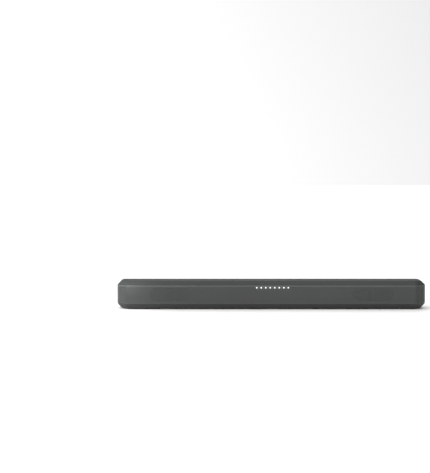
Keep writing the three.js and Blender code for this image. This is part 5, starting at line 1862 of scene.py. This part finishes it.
def ribbon(node, route):
    """A flat strip as wide as its CAD node, along a route of y, z points."""
    low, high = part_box(node)
    track = [Vector(p) for p in route]
    body = Body()
    rings = []
    for p, way in zip(track, track_ways(track)):
        off = Vector((-way.y, way.x)) * RIBBON / 2
        a, b = p + off, p - off
        rings.append(body.ring([
            (low.x, a.x, a.y), (high.x, a.x, a.y), (high.x, b.x, b.y), (low.x, b.x, b.y),
        ]))
    body.skin(*rings)
    stands_for(body.piece(node + "_film", ribbon_film), "root", "ribbon_film", node)


ribbon_low, ribbon_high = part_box("display_ribbon")
half_film = RIBBON / 2
fold = softened([Vector(p) for p in (
    (ribbon_low.y + half_film, ribbon_high.z), (ribbon_low.y + half_film, ribbon_low.z + half_film),
    (ribbon_high.y, ribbon_low.z + half_film),
)], 3 * MM, 8, closed=False)
ribbon("display_ribbon", fold)
ribbon_low, ribbon_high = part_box("key_ribbon")
ribbon_y = (ribbon_low.y + ribbon_high.y) / 2
ribbon("key_ribbon", [(ribbon_y, ribbon_low.z + (ribbon_high.z - ribbon_low.z) * i / 6) for i in range(7)])

# ---------------------------------------------------------------- key board
# A small board on the roof's two posts, with a push switch under each key: a black body held down by a
# tinned frame, and a round plunger that the key's stem presses.
KEY_NAMES = ("standby", "source", "volume_down", "volume_up")
SWITCH_HALF = 3 * MM
SWITCH_HEIGHT = 4.2 * MM


def key_board():
    low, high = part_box("key_board")
    top = high.z - SWITCH_HEIGHT
    body = Body()
    body.block(low, (high.x, high.y, top), 0.2 * MM, 3)
    for name in KEY_NAMES:
        x, y, _ = middle_of(name + "_button")
        reach = SWITCH_HALF
        body.finish = EPOXY
        body.block(
            (x - reach, y - reach, top - 0.1 * MM), (x + reach, y + reach, top + 3.2 * MM), 0.3 * MM, 3,
        )
        body.finish = TIN
        body.block(
            (x - reach + 0.2 * MM, y - reach + 0.2 * MM, top + 3.1 * MM),
            (x + reach - 0.2 * MM, y + reach - 0.2 * MM, top + 3.5 * MM), 0.1 * MM, 3,
        )
        body.finish = EPOXY
        levels = [(3.4, 1.5), (4.0, 1.5), (4.2, 1.3)]
        body.skin(*(body.ring(circle(x, y, top + z * MM, r * MM, 28)) for z, r in levels))
    made = body.piece("key_board_assembly", *BOARD_FINISHES)
    stands_for(made, "root", "board_green", "key_board")


key_board()

# ---------------------------------------------------------------- top cover
# The roof and its four slopes, moulded in dark grey ABS and left satin. It drops on last: six bosses take
# the case screws from below, two posts carry the key board, and four oblong openings show the keys.
grey_abs = grained(
    "dark_grey_abs_satin", ("#484b4a", "#4b4e4d"), (0.52, 0.6), 0.3 * MM, 0.03 * MM, cloud=120 * MM,
    Specular_IOR_Level=0.05,
)

KEY_FLANGE = 1 * MM
ROOF_EDGE = 2.2 * MM
BOSS = 4 * MM
screw_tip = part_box(SCREW_NAMES[0])[1].z
key_board_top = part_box("key_board")[1].z - SWITCH_HEIGHT


def key_size(name):
    """Middle and half size of a key's cap."""
    low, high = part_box(name + "_button")
    half = ((high.x - low.x) / 2 - KEY_FLANGE, (high.y - low.y) / 2 - KEY_FLANGE)
    return middle_of(name + "_button"), half


def top_cover():
    body = Body()
    run, rise = slope_inside(TOP_SLOPE, WALL)
    roof, ceiling = highest.z, highest.z - WALL
    edge = belt_high + SEAM
    belt_top = belt_high + SEAM / 2
    roll = [(inset, belt_top + past) for inset, past in rolled_edge(TOP_TURN, True)]
    profile = softened([Vector(p) for p in (
        (WALL + edge - (roof - rise), edge), (roll[0][0] + 0.05 * MM, edge), *roll[1:],
        (TOP_SLOPE[0], roof), (TOP_SLOPE[0] + 6 * MM, roof),
    )], [SEAM_EASE] * (len(roll) + 1) + [ROOF_EDGE, 0], steps=4, closed=False)
    outer = [body.ring(case_ring(p.x, p.y)) for p in profile]
    inner = body.ring(case_ring(run, ceiling))
    body.wall(*outer)
    body.wall(outer[0], inner)
    roof_holes, ceiling_holes = [], []
    for name in KEY_NAMES:
        (x, y, _), half = key_size(name)
        rings = [
            body.ring(oblong(x, y, z, (half[0] + FIT + grow, half[1] + FIT + grow)))
            for grow, z in (
                (0.9 * MM, roof), (0.3 * MM, roof), (0.09 * MM, roof - 0.09 * MM),
                (0, roof - 0.3 * MM), (0, ceiling),
            )
        ]
        body.wall(*rings)
        roof_holes.append(rings[0])
        ceiling_holes.append(rings[-1])
    for name in SCREW_NAMES:
        x, y, _ = middle_of(name)
        boss = [body.ring(circle(x, y, z, r)) for z, r in (
            (ceiling, BOSS), (tower_top + FIT, BOSS),
            (tower_top + FIT, SCREW_BORE), (screw_tip + 1 * MM, SCREW_BORE),
        )]
        body.wall(*boss)
        body.lid(boss[-1])
        ceiling_holes.append(boss[0])
    low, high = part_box("key_board")
    for x in (low.x + 4 * MM, high.x - 4 * MM):
        y = (low.y + high.y) / 2
        post = [body.ring(circle(x, y, z, POST, 24)) for z in (ceiling, key_board_top + FIT)]
        body.wall(*post)
        body.lid(post[1])
        ceiling_holes.append(post[0])
    body.lid(outer[-1], *roof_holes)
    body.lid(inner, *ceiling_holes)
    add_lips(body, belt_top - LIP[1], belt_top + LIP_ROOT)
    made = body.piece("top_cover_moulding", grey_abs)
    stands_for(made, "root", "cover_grey", "top_cover")


top_cover()

# ---------------------------------------------------------------- keys
# Four oblong keys in the same ABS, a shade darker and a little dished for the finger. Each has a flange
# that keeps it under the roof, a stem down to its switch, and a printed sign in the dish.
# The keys are smoother than the roof, and the pad-printed ink is a soft white.
key_abs = grained(
    "dark_grey_abs_key_satin", ("#3b3e3e", "#3e4141"), (0.3, 0.38), 0.3 * MM, 0.01 * MM, cloud=20 * MM,
)
sign_ink = grained(
    "white_pad_print", ("#c9cccb", "#d3d6d5"), (0.45, 0.55), 0.15 * MM, 0.004 * MM, cloud=5 * MM,
)

CAP_EDGE = 0.5 * MM
DISH = 0.35 * MM
INK = 0.03 * MM
STROKE = 0.55 * MM
CAP_HEIGHT = 3.1 * MM


def dish_drop(share):
    """How far the key's top lies under its rim, at a share of the way out from the middle."""
    return DISH * (1 - share ** 2)


def key(name):
    low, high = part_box(name + "_button")
    (x, y, _), half = key_size(name)
    flange_top = high.z - CAP_HEIGHT
    body = Body()

    def level(z, grow):
        return body.ring(oblong(x, y, z, (half[0] + grow, half[1] + grow)))

    stem = [body.ring(circle(x, y, z, r, 30)) for z, r in (
        (low.z, 1.7 * MM), (low.z + 0.3 * MM, 2 * MM), (flange_top - KEY_FLANGE, 2 * MM),
    )]
    rings = [
        level(flange_top - KEY_FLANGE, KEY_FLANGE - 0.15 * MM),
        level(flange_top - KEY_FLANGE * 0.85, KEY_FLANGE),
        level(flange_top - 0.15 * MM, KEY_FLANGE), level(flange_top, KEY_FLANGE - 0.15 * MM),
        level(flange_top, 0),
    ]
    for step in range(5):
        turn = step / 4 * math.pi / 2
        rings.append(level(high.z - CAP_EDGE * (1 - math.sin(turn)), -CAP_EDGE * (1 - math.cos(turn))))
    for share in (0.8, 0.6, 0.4, 0.2):
        rings.append(level(high.z - dish_drop(share), -CAP_EDGE - (half[1] - CAP_EDGE) * (1 - share) * 0.96))
    body.wall(*stem)
    body.lid(stem[0])
    body.lid(rings[0], stem[-1])
    body.wall(*rings)
    body.lid(rings[-1])
    made = body.piece(name + "_key", key_abs)
    stands_for(made, name + "_key", "key_grey", name + "_button")


def printed(name, strokes):
    """A sign of ink lines that lie in the key's dish. A stroke is a list of x, y points in millimetres."""
    (x, y, _), half = key_size(name)
    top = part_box(name + "_button")[1].z
    body = Body()
    for stroke in strokes:
        track = [Vector(p) * MM for p in stroke]
        ways = track_ways(track)
        layers = []
        for lift in (-INK, INK):
            for side in (-1, 1):
                line = []
                for p, way in zip(track, ways):
                    px, py = p.x - side * way.y * STROKE / 2, p.y + side * way.x * STROKE / 2
                    over = max(0, abs(px) - (half[0] - half[1]))
                    share = min(1, math.hypot(over, py) / (half[1] - CAP_EDGE))
                    line.append((x + px, y + py, top - dish_drop(share) + lift))
                layers.append(body.ring(line))
        under_left, under_right, over_left, over_right = layers
        body.wall(under_left, under_right, over_right, over_left, under_left, closed=False)
        for end in (0, -1):
            body.face(under_left[end], under_right[end], over_right[end], over_left[end])
    made = body.piece(name + "_sign", sign_ink)
    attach(made, name + "_key")


def arc_points(radius, start, end, steps=20):
    turns = [math.radians(start + (end - start) * i / steps) for i in range(steps + 1)]
    return [(radius * math.cos(t), radius * math.sin(t)) for t in turns]


def straight(x0, y0, x1, y1, steps=6):
    return [(x0 + (x1 - x0) * i / steps, y0 + (y1 - y0) * i / steps) for i in range(steps + 1)]


for key_name in KEY_NAMES:
    key(key_name)
printed("standby", [arc_points(1.5, 125, 415), straight(0, 0.4, 0, 1.9)])
printed("source", [
    straight(-2.6, 0, 0.6, 0), straight(-0.6, 1.1, 0.62, 0), straight(-0.6, -1.1, 0.62, 0),
    straight(0.2, 1.7, 2.2, 1.7), straight(2.2, 1.98, 2.2, -1.98), straight(2.2, -1.7, 0.2, -1.7),
])
printed("volume_down", [straight(-1.6, 0, 1.6, 0)])
printed("volume_up", [straight(-1.6, 0, 1.6, 0), straight(0, -1.6, 0, -0.28), straight(0, 0.28, 0, 1.6)])

# ---------------------------------------------------------------- case screws
# Six zinc-plated self-tapping screws, pan head with a cross recess, driven up from below through the
# towers into the bosses. The plating is bright but slightly mottled.
zinc_plate = grained(
    "zinc_plated_steel", ("#a9abad", "#8e9194"), (0.28, 0.45), 0.8 * MM, 0.01 * MM, 6 * MM, Metallic=1.0,
)

SCREW_SHANK = 1.5 * MM
THREAD_PITCH = 1.2 * MM
CROSS_REACH, CROSS_ARM = 1.55 * MM, 0.35 * MM


def cross_outline(x, y, z, shrink):
    """The twelve corners of the driver's recess."""
    reach, arm = CROSS_REACH - shrink, CROSS_ARM - shrink * 0.4
    quarter = [(reach, -arm), (reach, arm), (arm, arm)]
    corners = []
    for _ in range(4):
        corners += [(x + px, y + py, z) for px, py in quarter]
        quarter = [(-py, px) for px, py in quarter]
    return corners


def case_screw(name):
    low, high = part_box(name)
    x, y, _ = middle_of(name)
    body = Body()
    head = [body.ring(circle(x, y, low.z + z * MM, r * MM)) for z, r in (
        (0, 2.0), (0.12, 2.35), (0.45, 2.65), (0.9, 2.8), (1.7, 2.8), (1.7, 1.5),
    )]
    shank = [head[-1]]
    thread_start, thread_end = low.z + 3 * MM, high.z - 2.5 * MM
    turns = int((thread_end - thread_start) / (THREAD_PITCH / 2))
    for i in range(turns):
        radius = SCREW_SHANK if i % 2 else SCREW_SHANK * 0.8
        shank.append(body.ring(circle(x, y, thread_start + i * THREAD_PITCH / 2, radius)))
    body.wall(*head)
    body.wall(*shank)
    body.hub(shank[-1], (x, y, high.z))
    recess = [body.ring(cross_outline(x, y, low.z + z * MM, s * MM)) for z, s in ((0, 0), (1.0, 0.35))]
    body.lid(head[0], recess[0])
    body.wall(*recess)
    body.lid(recess[1])
    made = body.piece(name + "_zinc", zinc_plate)
    stands_for(made, "root", "zinc_steel", name)


for screw_name in SCREW_NAMES:
    case_screw(screw_name)
